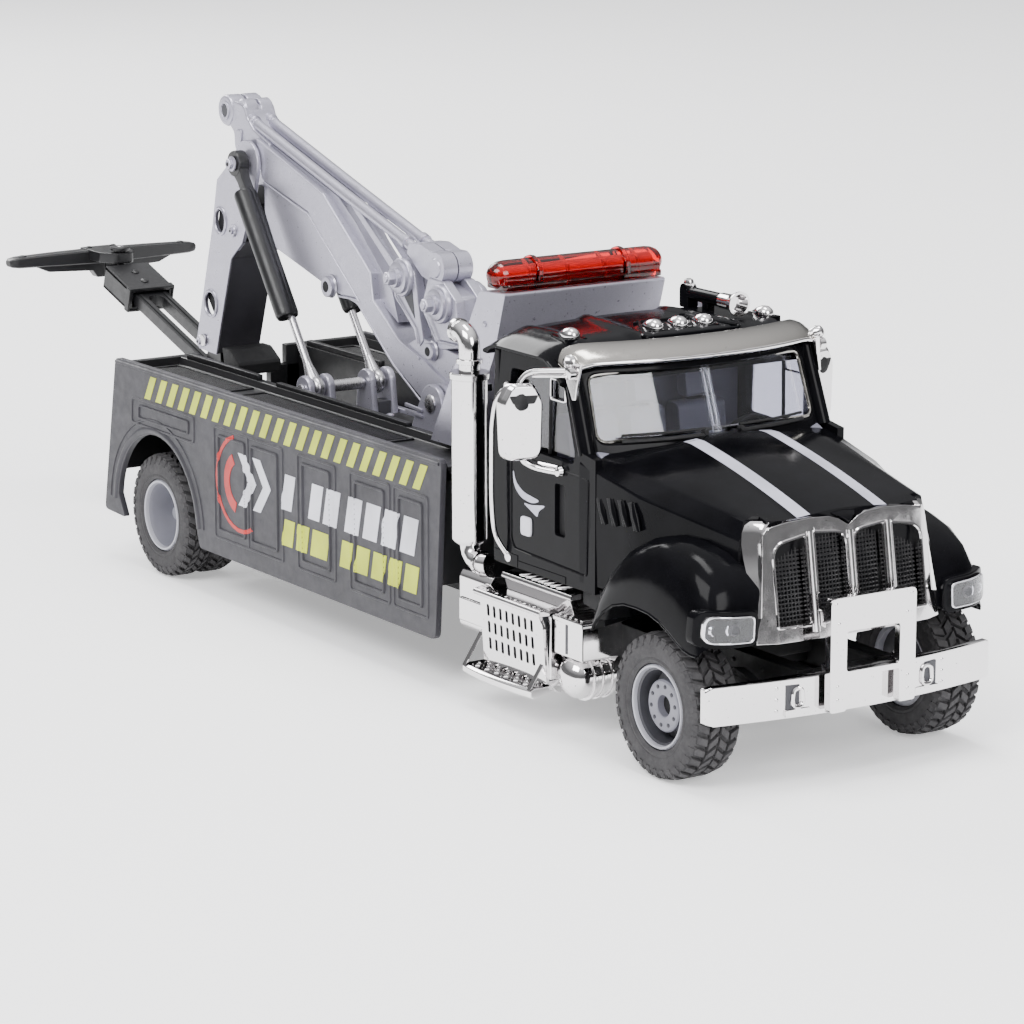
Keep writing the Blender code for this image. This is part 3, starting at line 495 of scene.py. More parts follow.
    def done(self, slot, *replaced):
        """Makes the object; it stands for the CAD nodes named."""
        if self.side < 0:
            for vert in self.mesh.verts:
                vert.co.y = -vert.co.y
            bmesh.ops.reverse_faces(self.mesh, faces=self.mesh.faces)
        for vert in self.mesh.verts:
            vert.co *= MM
        data = bpy.data.meshes.new(self.name)
        self.mesh.to_mesh(data)
        self.mesh.free()
        data.set_sharp_from_angle(angle=SOFT_ANGLE)
        for finish in self.finishes:
            data.materials.append(MATERIALS[finish])
        obj = bpy.data.objects.new(self.name, data)
        bpy.context.scene.collection.objects.link(obj)
        normals = obj.modifiers.new("Even normals", "WEIGHTED_NORMAL")
        normals.keep_sharp = True
        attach(obj, self.body)
        if replaced:
            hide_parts(*replaced)


# ---------------------------------------------------------------- wheels
def tread(piece, centre, rows, count, radius):
    """Rows of slanted lugs round a tyre: (y0, y1, slant, phase, width, drop at each end) for each."""
    pitch = 2 * math.pi / count
    for y0, y1, slant, phase, width, drop in rows:
        for k in range(count):
            base = pitch * (k + phase)
            rings = []
            for r, shrink in ((radius - 1.1, 1.08), (radius - 0.12, 1), (radius, 0.86)):
                ring = []
                for y, turn, low in ((y0, -1, drop[0]), (y1, 1, drop[1])):
                    mid = (y0 + y1) / 2
                    yy = mid + (y - mid) * (0.5 + shrink / 2)
                    for edge in ((-1, 1) if turn < 0 else (1, -1)):
                        a = base + pitch * (turn * slant + edge * width * shrink / 2)
                        rr = r - low
                        ring.append((centre[0] + rr * math.sin(a), yy, centre[1] + rr * math.cos(a)))
                rings.append(ring)
            piece.loft(rings)


def single_tyre(piece, centre, y_in, y_out, count):
    """A tyre's carcass and lugs between two y values, both negative, y_out the outer face."""
    wide = y_in - y_out
    half = [(6.55, 0.35), (7.1, 0.02), (7.5, 0.12), (7.7, 0), (8.8, -0.02), (9.3, 0.08),
        (9.7, 0.02), (10.25, 0.35)]
    half += [(10.42, 0.9), (10.45, wide * 0.3)]
    profile = [(r, y_out + d) for r, d in half] + [(r, y_in - d) for r, d in reversed(half)]
    piece.ringed(profile, centre, 72)
    edge = 0.34
    rows = [
        (y_out + edge, y_out + wide * 0.25, 0.16, 0, 0.60, (0.34, 0)),
        (y_out + wide * 0.29, y_out + wide * 0.48, -0.30, 0.25, 0.66, (0, 0)),
        (y_out + wide * 0.52, y_out + wide * 0.71, 0.30, 0.55, 0.66, (0, 0)),
        (y_out + wide * 0.75, y_in - edge, -0.16, 0.8, 0.60, (0, 0.34)),
    ]
    tread(piece, centre, rows, count, TYRE_R)
    # small lugs that carry the tread's edge down the sidewall
    for k in range(count):
        a = 2 * math.pi * k / count
        for y, out in ((y_out, -1), (y_in, 1)):
            rings = []
            for depth, w in ((0.3, 0.07), (-0.12, 0.055)):
                ring = []
                for r, turn in ((9.35, -1), (10.5, -1), (10.5, 1), (9.35, 1)):
                    slope = 0 if r < 10 else 0.34
                    b = a + turn * w * (1 if r > 10 else 0.7)
                    yy = y - out * (depth + slope)
                    ring.append((centre[0] + r * math.sin(b), yy, centre[1] + r * math.cos(b)))
                rings.append(ring)
            piece.loft(rings)


def nuts(piece, centre, y, radius, size, height, finish, count=10):
    for k in range(count):
        a = 2 * math.pi * k / count + 0.16
        x, z = centre[0] + radius * math.sin(a), centre[1] + radius * math.cos(a)
        piece.turned([(0, size), (height * 0.7, size), (height, size * 0.6)], (x, y, z),
            (0, -1, 0), 6, finish=finish)


def front_wheel(name, side):
    centre = (FRONT_AXLE_X, TYRE_R)
    tyre = Piece(f"front_tyre_{name}", "tyre", "front_wheels", side)
    single_tyre(tyre, centre, -18.6, -26.6, 34)
    tyre.done("tyre_rubber", f"tyre_front_{name}")
    rim = Piece(f"front_rim_{name}", "rim_lip", "front_wheels", side)
    rim.ringed([(6.5, -19.4), (6.5, -25.9), (6.2, -26.35), (5.95, -26.3), (5.8, -25.9),
        (5.75, -19.4)], centre, 64)
    # painted shade: the well between the lip and the dish is darkened, where the rear rims keep the plain
    # grey
    rim.ringed([(5.78, -25.7), (5.45, -25.5), (5.1, -23), (3.2, -22.6), (3.2, -20.5), (5.78, -20.5)], centre,
        64, finish="rim_dark")
    dish = [(1.62, -23), (1.62, -24.95), (1.85, -25.1), (3.7, -25.1), (3.95, -24.9),
        (4, -24.5), (3.85, -22.6)]
    rim.ringed(dish, centre, 48, finish="rim")
    rim.turned([(0, 1.63), (0.2, 1.63), (0.25, 1.2)], (centre[0], -23.6, centre[1]),
        (0, -1, 0), 32, finish="matt")
    nuts(rim, centre, -25.05, 3, 0.32, 0.22, "rim_dark")
    rim.done("rim_grey", f"rim_front_{name}")


def rear_wheel(name, side):
    centre = (REAR_AXLE_X, TYRE_R)
    tyre = Piece(f"rear_tyre_{name}", "tyre", "rear_wheels", side)
    single_tyre(tyre, centre, -20.4, -25.8, 34)
    single_tyre(tyre, centre, -14.6, -20, 34)
    tyre.done("tyre_rubber", f"tyre_rear_{name}")
    rim = Piece(f"rear_rim_{name}", "rim", "rear_wheels", side)
    rim.ringed([(6.5, -15.4), (6.5, -25.2), (6.2, -25.6), (5.9, -25.55), (5.7, -25), (5.6, -15.4)], centre,
        64, finish="rim_lip")
    bowl = [(5.75, -25), (5.4, -24.2), (4.9, -21.6), (4.4, -20.4), (2.2, -19.9), (2.2, -17), (5.75, -17)]
    rim.ringed(bowl, centre, 64)
    hub = [(0, 2.75), (0.8, 2.7), (1.1, 2.5), (1.15, 1.6), (2.4, 1.45), (3, 1.1), (3.1, 0.5)]
    rim.turned(hub, (centre[0], -19.6, centre[1]), (0, -1, 0), 40)
    nuts(rim, centre, -20.6, 2.1, 0.34, 0.5, "rim_lip")
    rim.done("rim_grey", f"rim_rear_{name}")


def build_wheels():
    for name, side in SIDES.items():
        front_wheel(name, side)
        rear_wheel(name, side)


# ---------------------------------------------------------------- body and deck
STRIPE_PITCH = 4.13
STRIPES = 23
ARCH, ARCH_R = (REAR_AXLE_X - 0.6, 10.4), 14.6
LOCKERS = [(-28.6, -5, 11.4), (0.1, 12.4, 11.4), (17.2, 29.6, 11.2), (30.9, 41.3, 11.2)]  # x0, x1, foot
LOCKER_TOP = 31
CHANNEL_Y = 12  # half the width of the deck's channel
DECK_EDGE = 25


def side_panel(name, side):
    panel = Piece(f"side_panel_{name}", "charcoal", "truck", side)
    arch = [(x, ARCH[1] + (z - ARCH[1]) * 1.04) for x, z in arc(ARCH, ARCH_R, 8, 172, 22)]
    outline = [(-65.2, 37.6), (-70.5, 8.7), (-62.6, 8.4)] + arch[::-1]
    outline += [(-34.6, 8.1), (43.4, 8), (45.4, 37.8)]

    def place(u, v, w):
        return (u, PANEL_Y + 0.2 + w, v)

    panel.plate(rounded(outline, [1.2, 1.2, 0.8] + [0] * len(arch) + [0.8, 1.4, 1.2], 3),
        [], place, 1.1, 0.18)
    face = PANEL_Y + 0.22
    # the rim of the arch, raised and then dished
    for grow, width, height in ((1.1, 1.3, 0.32), (2.9, 0.5, 0.2)):
        path = [(x, ARCH[1] + (z - ARCH[1]) * 1.02) for x, z in arc(ARCH, ARCH_R + grow, 4, 176, 28)]
        panel.ridge(path, width, height, face, closed=False)
    # the locker over the wheel
    for corners, radius, width, height in (
            ([(-59.1, 26.7), (-36, 26.7), (-35.9, 31.3), (-58.9, 31.3)], 0.8, 0.55, 0.22),
            ([(-56.4, 27.9), (-38, 28), (-37.8, 30.2), (-56.2, 30.2)], 0.5, 0.5, 0.3)):
        panel.ridge(rounded(corners[::-1], radius, 2), width, height, face)
    # tall lockers, each with an outer and an inner line
    for x0, x1, low in LOCKERS:
        panel.ridge(rounded(rect(x0, x1, low, LOCKER_TOP)[::-1], 0.6, 2), 0.55, 0.2, face)
        leaves = [(x0 + 1.5, x1 - 1.8)]
        if x1 - x0 > 20:
            middle = (x0 + x1) / 2
            leaves = [(x0 + 1.5, middle - 1.2), (middle + 1.2, x1 - 1.8)]
            panel.ridge([(middle, low), (middle, LOCKER_TOP)], 0.5, 0.2, face, closed=False)
        for a, b in leaves:
            panel.ridge(rounded(rect(a, b, low + 1.5, LOCKER_TOP - 1.4)[::-1], 0.5, 2), 0.6, 0.32, face)
    panel.ridge([(-64.9, 36.9), (44.6, 37)], 0.7, 0.25, face, closed=False)

    tree = BVHTree.FromBMesh(panel.mesh)
    for k in range(STRIPES):
        x = -52 + STRIPE_PITCH * k
        panel.decal([(x - 2.1, 31.8), (x, 31.8), (x + 2.5, 36.1), (x + 0.4, 36.1)], "yellow_ink", tree)
    # plain bars, chevrons and rings fill the places of the lettering
    upper = [(-4.6, 3.4), (4.4, 3.6), (9.2, 4.4), (16.2, 4.4), (22, 4.4), (27.8, 4.4), (33.6, 4.4)]
    lower = [(-4.6, 3.4), (0, 3.6), (4.8, 5.4), (14.4, 3.4), (19.2, 4), (24.4, 4), (29.6, 3.6), (34.4, 4)]
    for bars, ink, z0, z1, foot, head in ((upper, "white_ink", 20.6, 26.8, -0.9, 0.6),
            (lower, "yellow_ink", 14.4, 19, -0.7, 0.3)):
        for x, width in bars:
            panel.decal([(x + foot, z0), (x + width + foot, z0), (x + width + head, z1),
                (x + head, z1)], ink, tree)
    z = 23.1
    for x in (-20.2, -15.2):
        for flip in (-1, 1):
            corners = [(x, z + 4.6 * flip), (x + 2.6, z + 4.6 * flip), (x + 6.2, z), (x + 3.6, z)]
            panel.decal(corners if flip < 0 else corners[::-1], "white_ink", tree)
    for radius, start, end, thick in ((8.6, 105, 300, 0.7), (5.6, 120, 250, 1.9)):
        outer, inner = (arc((-19.6, 22.2), r, start, end, 16) for r in (radius, radius - thick))
        for k in range(16):
            panel.decal([outer[k], outer[k + 1], inner[k + 1], inner[k]], "red_ink", tree)
    panel.done("charcoal_plastic", f"body_side_{name}")


def ribbed_strip(piece, x0, x1, y0, y1, z):
    """A non-slip mat: a frame with slanting ribs inside."""
    edge, pitch = 0.55, 0.95
    for a, b, c, d in ((x0, x1, y0, y0 + edge), (x0, x1, y1 - edge, y1), (x0, x0 + edge, y0, y1),
            (x1 - edge, x1, y0, y1)):
        piece.box(a, b, c, d, z, z + 0.3, 0.08)
    for k in range(int((x1 - x0 - 2.4) / pitch)):
        x = x0 + 0.9 + pitch * k
        a, b = (x, y0 + 0.8), (x + 1.1, y1 - 0.8)
        ring = [(a[0], a[1]), (a[0] + 0.42, a[1]), (b[0] + 0.42, b[1]), (b[0], b[1])]
        rings = [[(px, py, z - 0.05) for px, py in ring]]
        rings.append([(px + (0.1 if i in (0, 3) else -0.1), py, z + 0.26) for i, (px, py) in enumerate(ring)])
        piece.loft(rings)


def build_deck():
    deck = Piece("deck_moulding", "plastic")
    walk = [(DECK_EDGE, 33.8), (DECK_EDGE, 36.6), (24.2, 36.9), (23.6, 35.2), (13.6, 35.2), (13.2, 36.5)]
    walk += [(11.6, 36.5), (11.6, 17.2), (12.9, 17.2), (12.9, 33.8)]
    for side in (-1, 1):
        deck.slab_x([(side * y, z) for y, z in walk], -64.8, 44, 0.15)
        for x0, x1 in ((-62.6, -35), (-31, 18.5)):
            ribbed_strip(deck, x0, x1, *span(side, 14.4, 22.8), 35.2)
        # a raised rib along the channel's lip, stepped where the lockers part
        for x0, x1, top in ((-62, -36, 37.5), (-29.5, 14, 37.2)):
            deck.box(x0, x1, *span(side, CHANNEL_Y, 13.2), 36.4, top, 0.2)
        deck.box(-66, -64.2, *span(side, 9, DECK_EDGE), 17, 36.6, 0.2)
    deck.box(-56, 44, -CHANNEL_Y, CHANNEL_Y, 17, 18.4, 0.1)
    # the tail is open in the middle, where the wheel lift swings
    for x0, x1, top, bevel in ((-66, -64.2, 33, 0.15), (-64.6, -56, 18.4, 0.1)):
        for side in (1, -1):
            deck.box(x0, x1, *span(side, 5.6, CHANNEL_Y), 17, top, bevel)
    deck.box(42.6, 44, -DECK_EDGE, DECK_EDGE, 17, 36.2, 0.15)
    deck.box(24, 44, -CHANNEL_Y, CHANNEL_Y, 34.6, 35.4, 0.12)
    # tail lamps, each over a clear one
    for side in (-1, 1):
        y0, y1 = span(side, 16, 23)
        deck.box(-66.9, -65.9, y0, y1, 22, 27, 0.25, finish="red")
        deck.box(-66.9, -65.9, y0, y1, 19, 21.2, 0.25, finish="clear")
        deck.box(-66.6, -65.9, y0 - 0.5, y1 + 0.5, 18.4, 27.6, 0.15)
    deck.done("black_plastic", "deck")

    board = Piece("headboard_panel", "silver")
    profile = [(25.2, 36.5), (40, 63.2), (47.6, 63.7), (44.2, 53), (42.8, 50.4), (34.6, 36.5)]
    profile = rounded(profile, [0, 0.7, 0.7, 1, 1, 0], 3)
    board.slab_y(profile, -15.5, 15.5, 0.3)
    for side in (-1, 1):
        for z in (42, 50, 58):
            x = 25.2 + (z - 36.5) * 0.554 + 4.5
            board.turned([(0, 0.5), (0.2, 0.5), (0.3, 0.35)], (x, side * 15.45, z), (0, side, 0), 16)
    board.done("silver_paint", "headboard")


def build_light_bar():
    x, z = 44.3, 66.1
    base = Piece("light_bar_foot", "red")
    base.slab_z(rounded(rect(41.3, 47.3, -15.2, 15.2), 1, 4), 63.9, 64.9, 0.2)
    base.done("red_lens", "light_bar_base")
    lens = Piece("light_bar_dome", "red")
    half = [(0, 0.3), (0.12, 0.85), (0.5, 1.45), (1.1, 1.95), (1.9, 2.25), (2.9, 2.38), (8.6, 2.4)]
    profile = half + [(33 - a, r) for a, r in reversed(half)]
    lens.turned(profile, (x, -16.5, z), (0, 1, 0), 48)
    for y in (-8.4, 8.4):
        ring = [(2.72, y - 0.42), (2.8, y), (2.72, y + 0.42), (2.2, y + 0.42), (2.2, y - 0.42)]
        lens.ringed(ring, (x, z), 48)
        for px in (x - 2.6, x + 2.6):
            lens.box(px - 0.35, px + 0.35, y - 0.42, y + 0.42, 64.7, 66.8, 0.1)
    lens.slab_y(rounded(rect(x - 2.4, x + 2.4, 64.6, 66), 0.4, 3), -15, 15, 0.15)
    lens.done("red_lens", "light_bar_lens")
    core = Piece("light_bar_core", "red_core")
    core.turned([(0, 0.5), (0.4, 1.1), (28.6, 1.1), (29, 0.5)], (x, -14.5, z - 0.3), (0, 1, 0), 24)
    for y in (-9.5, -2.4, 4.6, 11.2):
        core.box(x - 1.3, x + 1.3, y - 0.35, y + 0.35, z - 1.6, z + 0.9, 0.2)
    core.done("red_lens")


# ---------------------------------------------------------------- grille, bumper, lamps
def grille_x(y, z):
    """The grille's face: leaning back, and bowed forward in the middle."""
    return 114.9 + (38.4 - z) * 0.155 + 0.9 * (1 - (y / 17) ** 2)


def build_grille():
    shell = Piece("grille_surround", "chrome")
    right = [(-16.9, 21.7), (-16.4, 25), (-15.4, 33), (-14.9, 37.6), (-14.2, 38.5), (-11, 39), (-6.5, 39.25)]
    right += [(-3.4, 39.1), (-1.8, 38.6), (0, 37.5)]
    outline = right + [(-y, z) for y, z in reversed(right[:-1])]
    outline = [outline[-1]] + outline[:-1]

    def column(y0, y1, outer, inner):
        return rounded([(y0, 23.9), (y1, 23.9), (y1, inner), (y0, outer)],
            [0.3, 0.3, 1.9 if y1 > -3 else 0.3, 2.2 if y0 < -9 else 0.3], 5)

    holes = [column(-13.7, -7.9, 35.9, 36.9), column(-6.5, -0.6, 37.2, 36.6)]
    holes += [[(-y, z) for y, z in reversed(hole)] for hole in holes]

    def place(u, v, w):
        flare = max(0, abs(u) - 14) * 0.35
        return (grille_x(u, v) - 1.5 + w - flare * (w / 1.6), u, v)

    cuts = ([k * 2 for k in range(-8, 9)], [24 + 3.5 * k for k in range(5)])  # the face is curved
    shell.plate(outline, holes, place, 1.6, 0.28, cuts)
    # bars between the columns, and a raised lip round each one
    for y, low, high in ((-7.2, 22.8, 37.4), (0, 22.8, 36.8), (7.2, 22.8, 37.4)):
        points = [(grille_x(y, low + (high - low) * t / 6) + 0.35, y,
            low + (high - low) * t / 6) for t in range(7)]
        shell.tube(points, 0.45, 10)
    for hole in holes:
        points = [Vector((grille_x(u, v) + 0.12, u, v)) for u, v in hole]
        shell.tube(points + [points[0], points[1]], 0.26, 6)
    # cheeks: deep flutes that widen towards the top
    edges = [(25.6, 116.2, 16.9), (27.7, 115.6, 17), (30, 114.7, 17), (32.1, 113.8, 17.1), (34, 113, 17.1),
        (36, 112.5, 17.1), (37.6, 112.3, 16.9), (38.7, 112.3, 16.4), (39.2, 112.3, 15.4)]
    for side in (-1, 1):
        rings = []
        for z, back, wide in edges:
            y = 16.9 - (z - 21.7) * 0.125 - max(0, z - 38) * 0.8
            x = grille_x(y, z) - 0.25
            dip = 0.35 * (x - back)
            ring = [(x, y - 0.1), ((x + back) / 2 + 0.2, (y + wide) / 2 - dip), (back + 0.25, wide),
                (back - 0.3, wide - 0.3), (back - 0.3, wide - 2.4), (x - 1, y - 1.6)]
            rings.append([(px, side * py, z) for px, py in ring])
        shell.loft(rings)
    shell.done("chrome_trim", "grille_shell")

    mesh = Piece("grille_mesh_bars", "plastic")

    def back(u, v, w):
        return (grille_x(u, v) - 3.2 + w, u, v)

    mesh.plate([(-14.9, 23.2), (14.9, 23.2), (13.6, 36.8), (-13.6, 36.8)], [], back, 0.5, 0,
        cuts, finish="matt")
    for row in range(20):
        z = 24.3 + 0.63 * row
        for y0, y1 in ((-13.6, -8), (-6.4, -0.7), (0.7, 6.4), (8, 13.6)):
            rings = []
            for t in range(5):
                y = y0 + (y1 - y0) * t / 4
                x = grille_x(y, z) - 1.75
                rings.append([(x - 0.8, y, z - 0.2), (x, y, z - 0.15), (x + 0.1, y, z), (x, y, z + 0.15),
                    (x - 0.8, y, z + 0.2)])
            mesh.loft(rings)
    for y in [s * (1.2 + 0.62 * k) for s in (-1, 1) for k in range(20)]:
        if 6.3 < abs(y) < 8.2:
            continue
        points = [(grille_x(y, z) - 1.72, y, z) for z in (23.9, 28, 32, 36.4)]
        mesh.tube(points, 0.12, 6)
    mesh.done("black_plastic", "grille_mesh")


def rivet(piece, x, y, z, size):
    piece.turned([(0, size), (size * 0.35, size * 0.9), (size * 0.6, size * 0.5)], (x, y, z), (1, 0, 0), 12)


GUARD_X = 121.15  # the push guard's rear face
LAMP_Z = 24.8


def bumper_x(y):
    """The bumper's front face, swept back towards its ends."""
    return 120.7 - 3.1 * (abs(y) / 26.5) ** 1.8


def build_bumper():
    bumper = Piece("bumper_bar", "chrome")
    stations = [-26.5, -26.3, -25.4, -22, -18, -14, -10, -6, -2]
    stations += [-y for y in reversed(stations)]
    rings = []
    for y in stations:
        x = bumper_x(y)
        end = max(0, abs(y) - 25.9)
        thick = 1.05 if abs(y) > 16 else 1.6
        low, high = 10.8 + end * 0.9, 16.9 - end * 0.9
        front = x - end * 0.8
        section = [(front - thick, low), (front - 0.35, low), (front - 0.08, low + 0.12), (front, low + 0.5)]
        section += [(front, high - 0.5), (front - 0.08, high - 0.12), (front - 0.35, high),
            (front - thick, high)]
        rings.append([(px, y, pz) for px, pz in section])
    bumper.loft(rings)
    for side in (-1, 1):
        for z in (12.2, 13.9, 15.6):
            y = side * 15.4
            rivet(bumper, bumper_x(y) - 0.05, y, z, 0.3)
        # a shackle standing before a dark patch on the bumper's face, painted shade for its recess
        y = side * 12
        x = bumper_x(y)
        bumper.box(x - 0.6, x + 0.03, y - 1.9, y + 1.9, 11.8, 15.9, 0.05, finish="rim_dark")
        bumper.box(x - 0.5, x + 0.3, y - 2.2, y + 2.2, 11.2, 12.3, 0.15)
        shackle = rounded([(y - 1, 12.6), (y + 1, 12.6), (y + 0.8, 15.3), (y - 0.8, 15.3)], 0.9, 4)
        bumper.tube([(x + 0.2, p, q) for p, q in shackle + shackle[:2]], 0.34, 8)
        bumper.box(x - 0.5, x + 0.4, y - 0.5, y + 0.5, 11.9, 13, 0.12)
    bumper.box(114.6, 117.6, -9, 9, 11.6, 16.2, 0.2, finish="plastic")
    bumper.done("chrome_trim", "bumper")

    guard = Piece("push_guard_frame", "chrome")
    window = rounded(rect(-4.9, 4.9, 17.3, 23.3), 0.5, 3)
    outline = rounded([(-7.9, 11.3), (-4.9, 11.3), (-4.9, 16.4), (4.9, 16.4), (4.9, 11.3), (7.9, 11.3),
        (7.9, 28.5), (-7.9, 28.5)], [0.5, 0.4, 0.3, 0.3, 0.4, 0.5, 1, 1], 3)
    guard.plate(outline, [window], lambda u, v, w: (GUARD_X + w, u, v), 1.35, 0.28)
    for size, spots in ((0.3, ((-7, 27.6), (7, 27.6), (-6.4, 24.6), (6.2, 24.8))),
            (0.28, ((-6.5, 13.2), (-6.5, 15.2), (6.5, 13.2), (6.5, 15.2)))):
        for y, z in spots:
            rivet(guard, GUARD_X + 1.3, y, z, size)
    for side in (-1, 1):
        for x0, half, z0, z1 in ((119.6, 0.9, 17.2, 18.4), (117.6, 0.5, 23.6, 26)):
            guard.box(x0, 121.3, side * 6.5 - half, side * 6.5 + half, z0, z1, 0.2)
    guard.done("chrome_trim", "push_guard")


def lamp_x(y):
    """The headlamps' face, wrapped back round the fenders' corners."""
    return 117 - max(0, abs(y) - 21.5) ** 2 * 0.1


def build_headlamps():
    cuts = ([-25, -23.5, -22, -20], [25])
    for name, side in SIDES.items():
        lamp = Piece(f"headlamp_unit_{name}", "chrome", "truck", side)
        outline = rounded([(-26.2, 23), (-18.4, 22.6), (-18.2, 26.5), (-25.9, 27.2)], [1.4, 0.8, 0.9, 1.5], 5)

        def place(u, v, w):
            return (lamp_x(u) - 0.6 + w * 1.6, u, v)

        inner = [(-22.1 + (u + 22.1) * 0.92, LAMP_Z + (v - LAMP_Z) * 0.86) for u, v in outline]
        lamp.plate(outline, [inner], place, 0.98, 0.1, cuts)
        lamp.plate(inner, [], lambda u, v, w: place(u, v, 0.12 + w), 0.1, 0, cuts)
        for y, r, deep in ((-21.6, 1.55, 0.5), (-19, 1, 0.4), (-24.3, 1, 0.4)):
            x = place(y, LAMP_Z, 0.3)[0]
            profile = [(r, 0), (r * 0.86, 0.45), (r * 0.72, 0.5), (r * 0.55, 0.1), (r * 0.3, 0)]
            rings = [[(x + d * deep * 1.6, y + q * c, LAMP_Z + q * s) for q, d in profile]
                for c, s in turns(28)]
            lamp.loft(rings, wrap=True)
        lamp.turned([(0, 0.95), (0.5, 0.9), (0.85, 0.6), (0.95, 0.25)], (117, -21.6, LAMP_Z), (1, 0, 0),
            24, finish="rim_dark")
        lamp.plate(outline, [], lambda u, v, w: place(u, v, 0.86 + w), 0.22, 0.1, cuts, finish="clear")
        lamp.done("clear_lens", f"headlamp_{name}")


# ---------------------------------------------------------------- cab, hood and fenders
def screen_x(y, z):
    """The windscreen's surface: leaning back and wrapped round at the ends."""
    return 84.5 - (z - 45.3) * 0.38 - 4 * (abs(y) / 20.5) ** 2.2


def side_y(z):
    """The right side's door skin, leaning in above the waist."""
    return -23.5 + max(0, z - 45) * 0.045


def hood_z(x):
    """Height of the hood's crown beside the middle bulge."""
    run = x - 87.5
    return 45.6 - (0.17 * run + 0.0027 * run * run if run > 0 else 0.028 * run * run)


def hood_ring(x):
    """The hood's outline at one station; u marks its upper edge and l the lower one."""
    top = hood_z(x)
    yu, zu = 21 - (x - 82.2) * 0.152, 44 - (x - 82.2) * 0.155
    yl, zl = 22.5 - (x - 94) * (0.289 if x > 94 else 0.08), 40.4 - (x - 94) * 0.21
    half = [(0, top + 0.72), (2.6, top + 0.66), (5, top + 0.42), (8.6, top + 0.1), (9.2, top - 0.12)]
    half += [(15, (top + zu) / 2 + 0.35), (yu - 0.5, zu + 0.16), (yu + 0.1, zu - 0.1), (yl - 0.1, zl + 0.25),
        (yl + 0.12, zl - 0.3)]
    half += [(yl + 0.15, 34), (yl, 24.8)]
    if x > 112.5:  # the front corners are cut back for the grille's cheeks
        half = [(min(y, 14), z) for y, z in half]
    return [(x, -y, z) for y, z in reversed(half)] + [(x, y, z) for y, z in half[1:]]


FENDER = [  # (opening x, z), (crown x, z) from the rear tip over the wheel to the lamp
    ((88.2, 19.3), (86.8, 19.6)), ((89.2, 20.8), (87.1, 22.4)), ((91, 22.6), (88.3, 26.2)),
    ((93.6, 24.2), (90.6, 29.8)), ((96.6, 25), (94.2, 33)), ((99.8, 25.1), (98.4, 35)),
    ((102.8, 24.9), (102.4, 35.8)), ((105.6, 24.2), (106.4, 35.5)), ((108, 23.1), (110.6, 34.2)),
    ((110, 22), (113.9, 32)), ((111.8, 21.2), (115.8, 29.2)), ((113.4, 20.9), (116.4, 26)),
    ((114.8, 20.9), (116.4, 22.6)),
]


def roof_z(x, y):
    """The roof's height: crowned, with two ribs, and falling off at its rear and front edges."""
    a = abs(y)
    z = 60.35 + 0.65 * (1 - (a / 17) ** 2) if a < 17 else 60.35 - 2.2 * ((a - 17) / 6.6) ** 2
    rib = 7.4 + (x - 57) * 0.12
    z += 0.5 * math.exp(-((a - rib) / 0.8) ** 2) + 0.3 * math.exp(-((a - 18.2) / 0.9) ** 2)
    if x < 59:
        z -= 3.1 * ((59 - x) / 4.6) ** 2 * (1 - 0.6 * (a / 23.6) ** 2)
    if x > 73:
        z -= 0.05 * (x - 73) ** 2
    return z


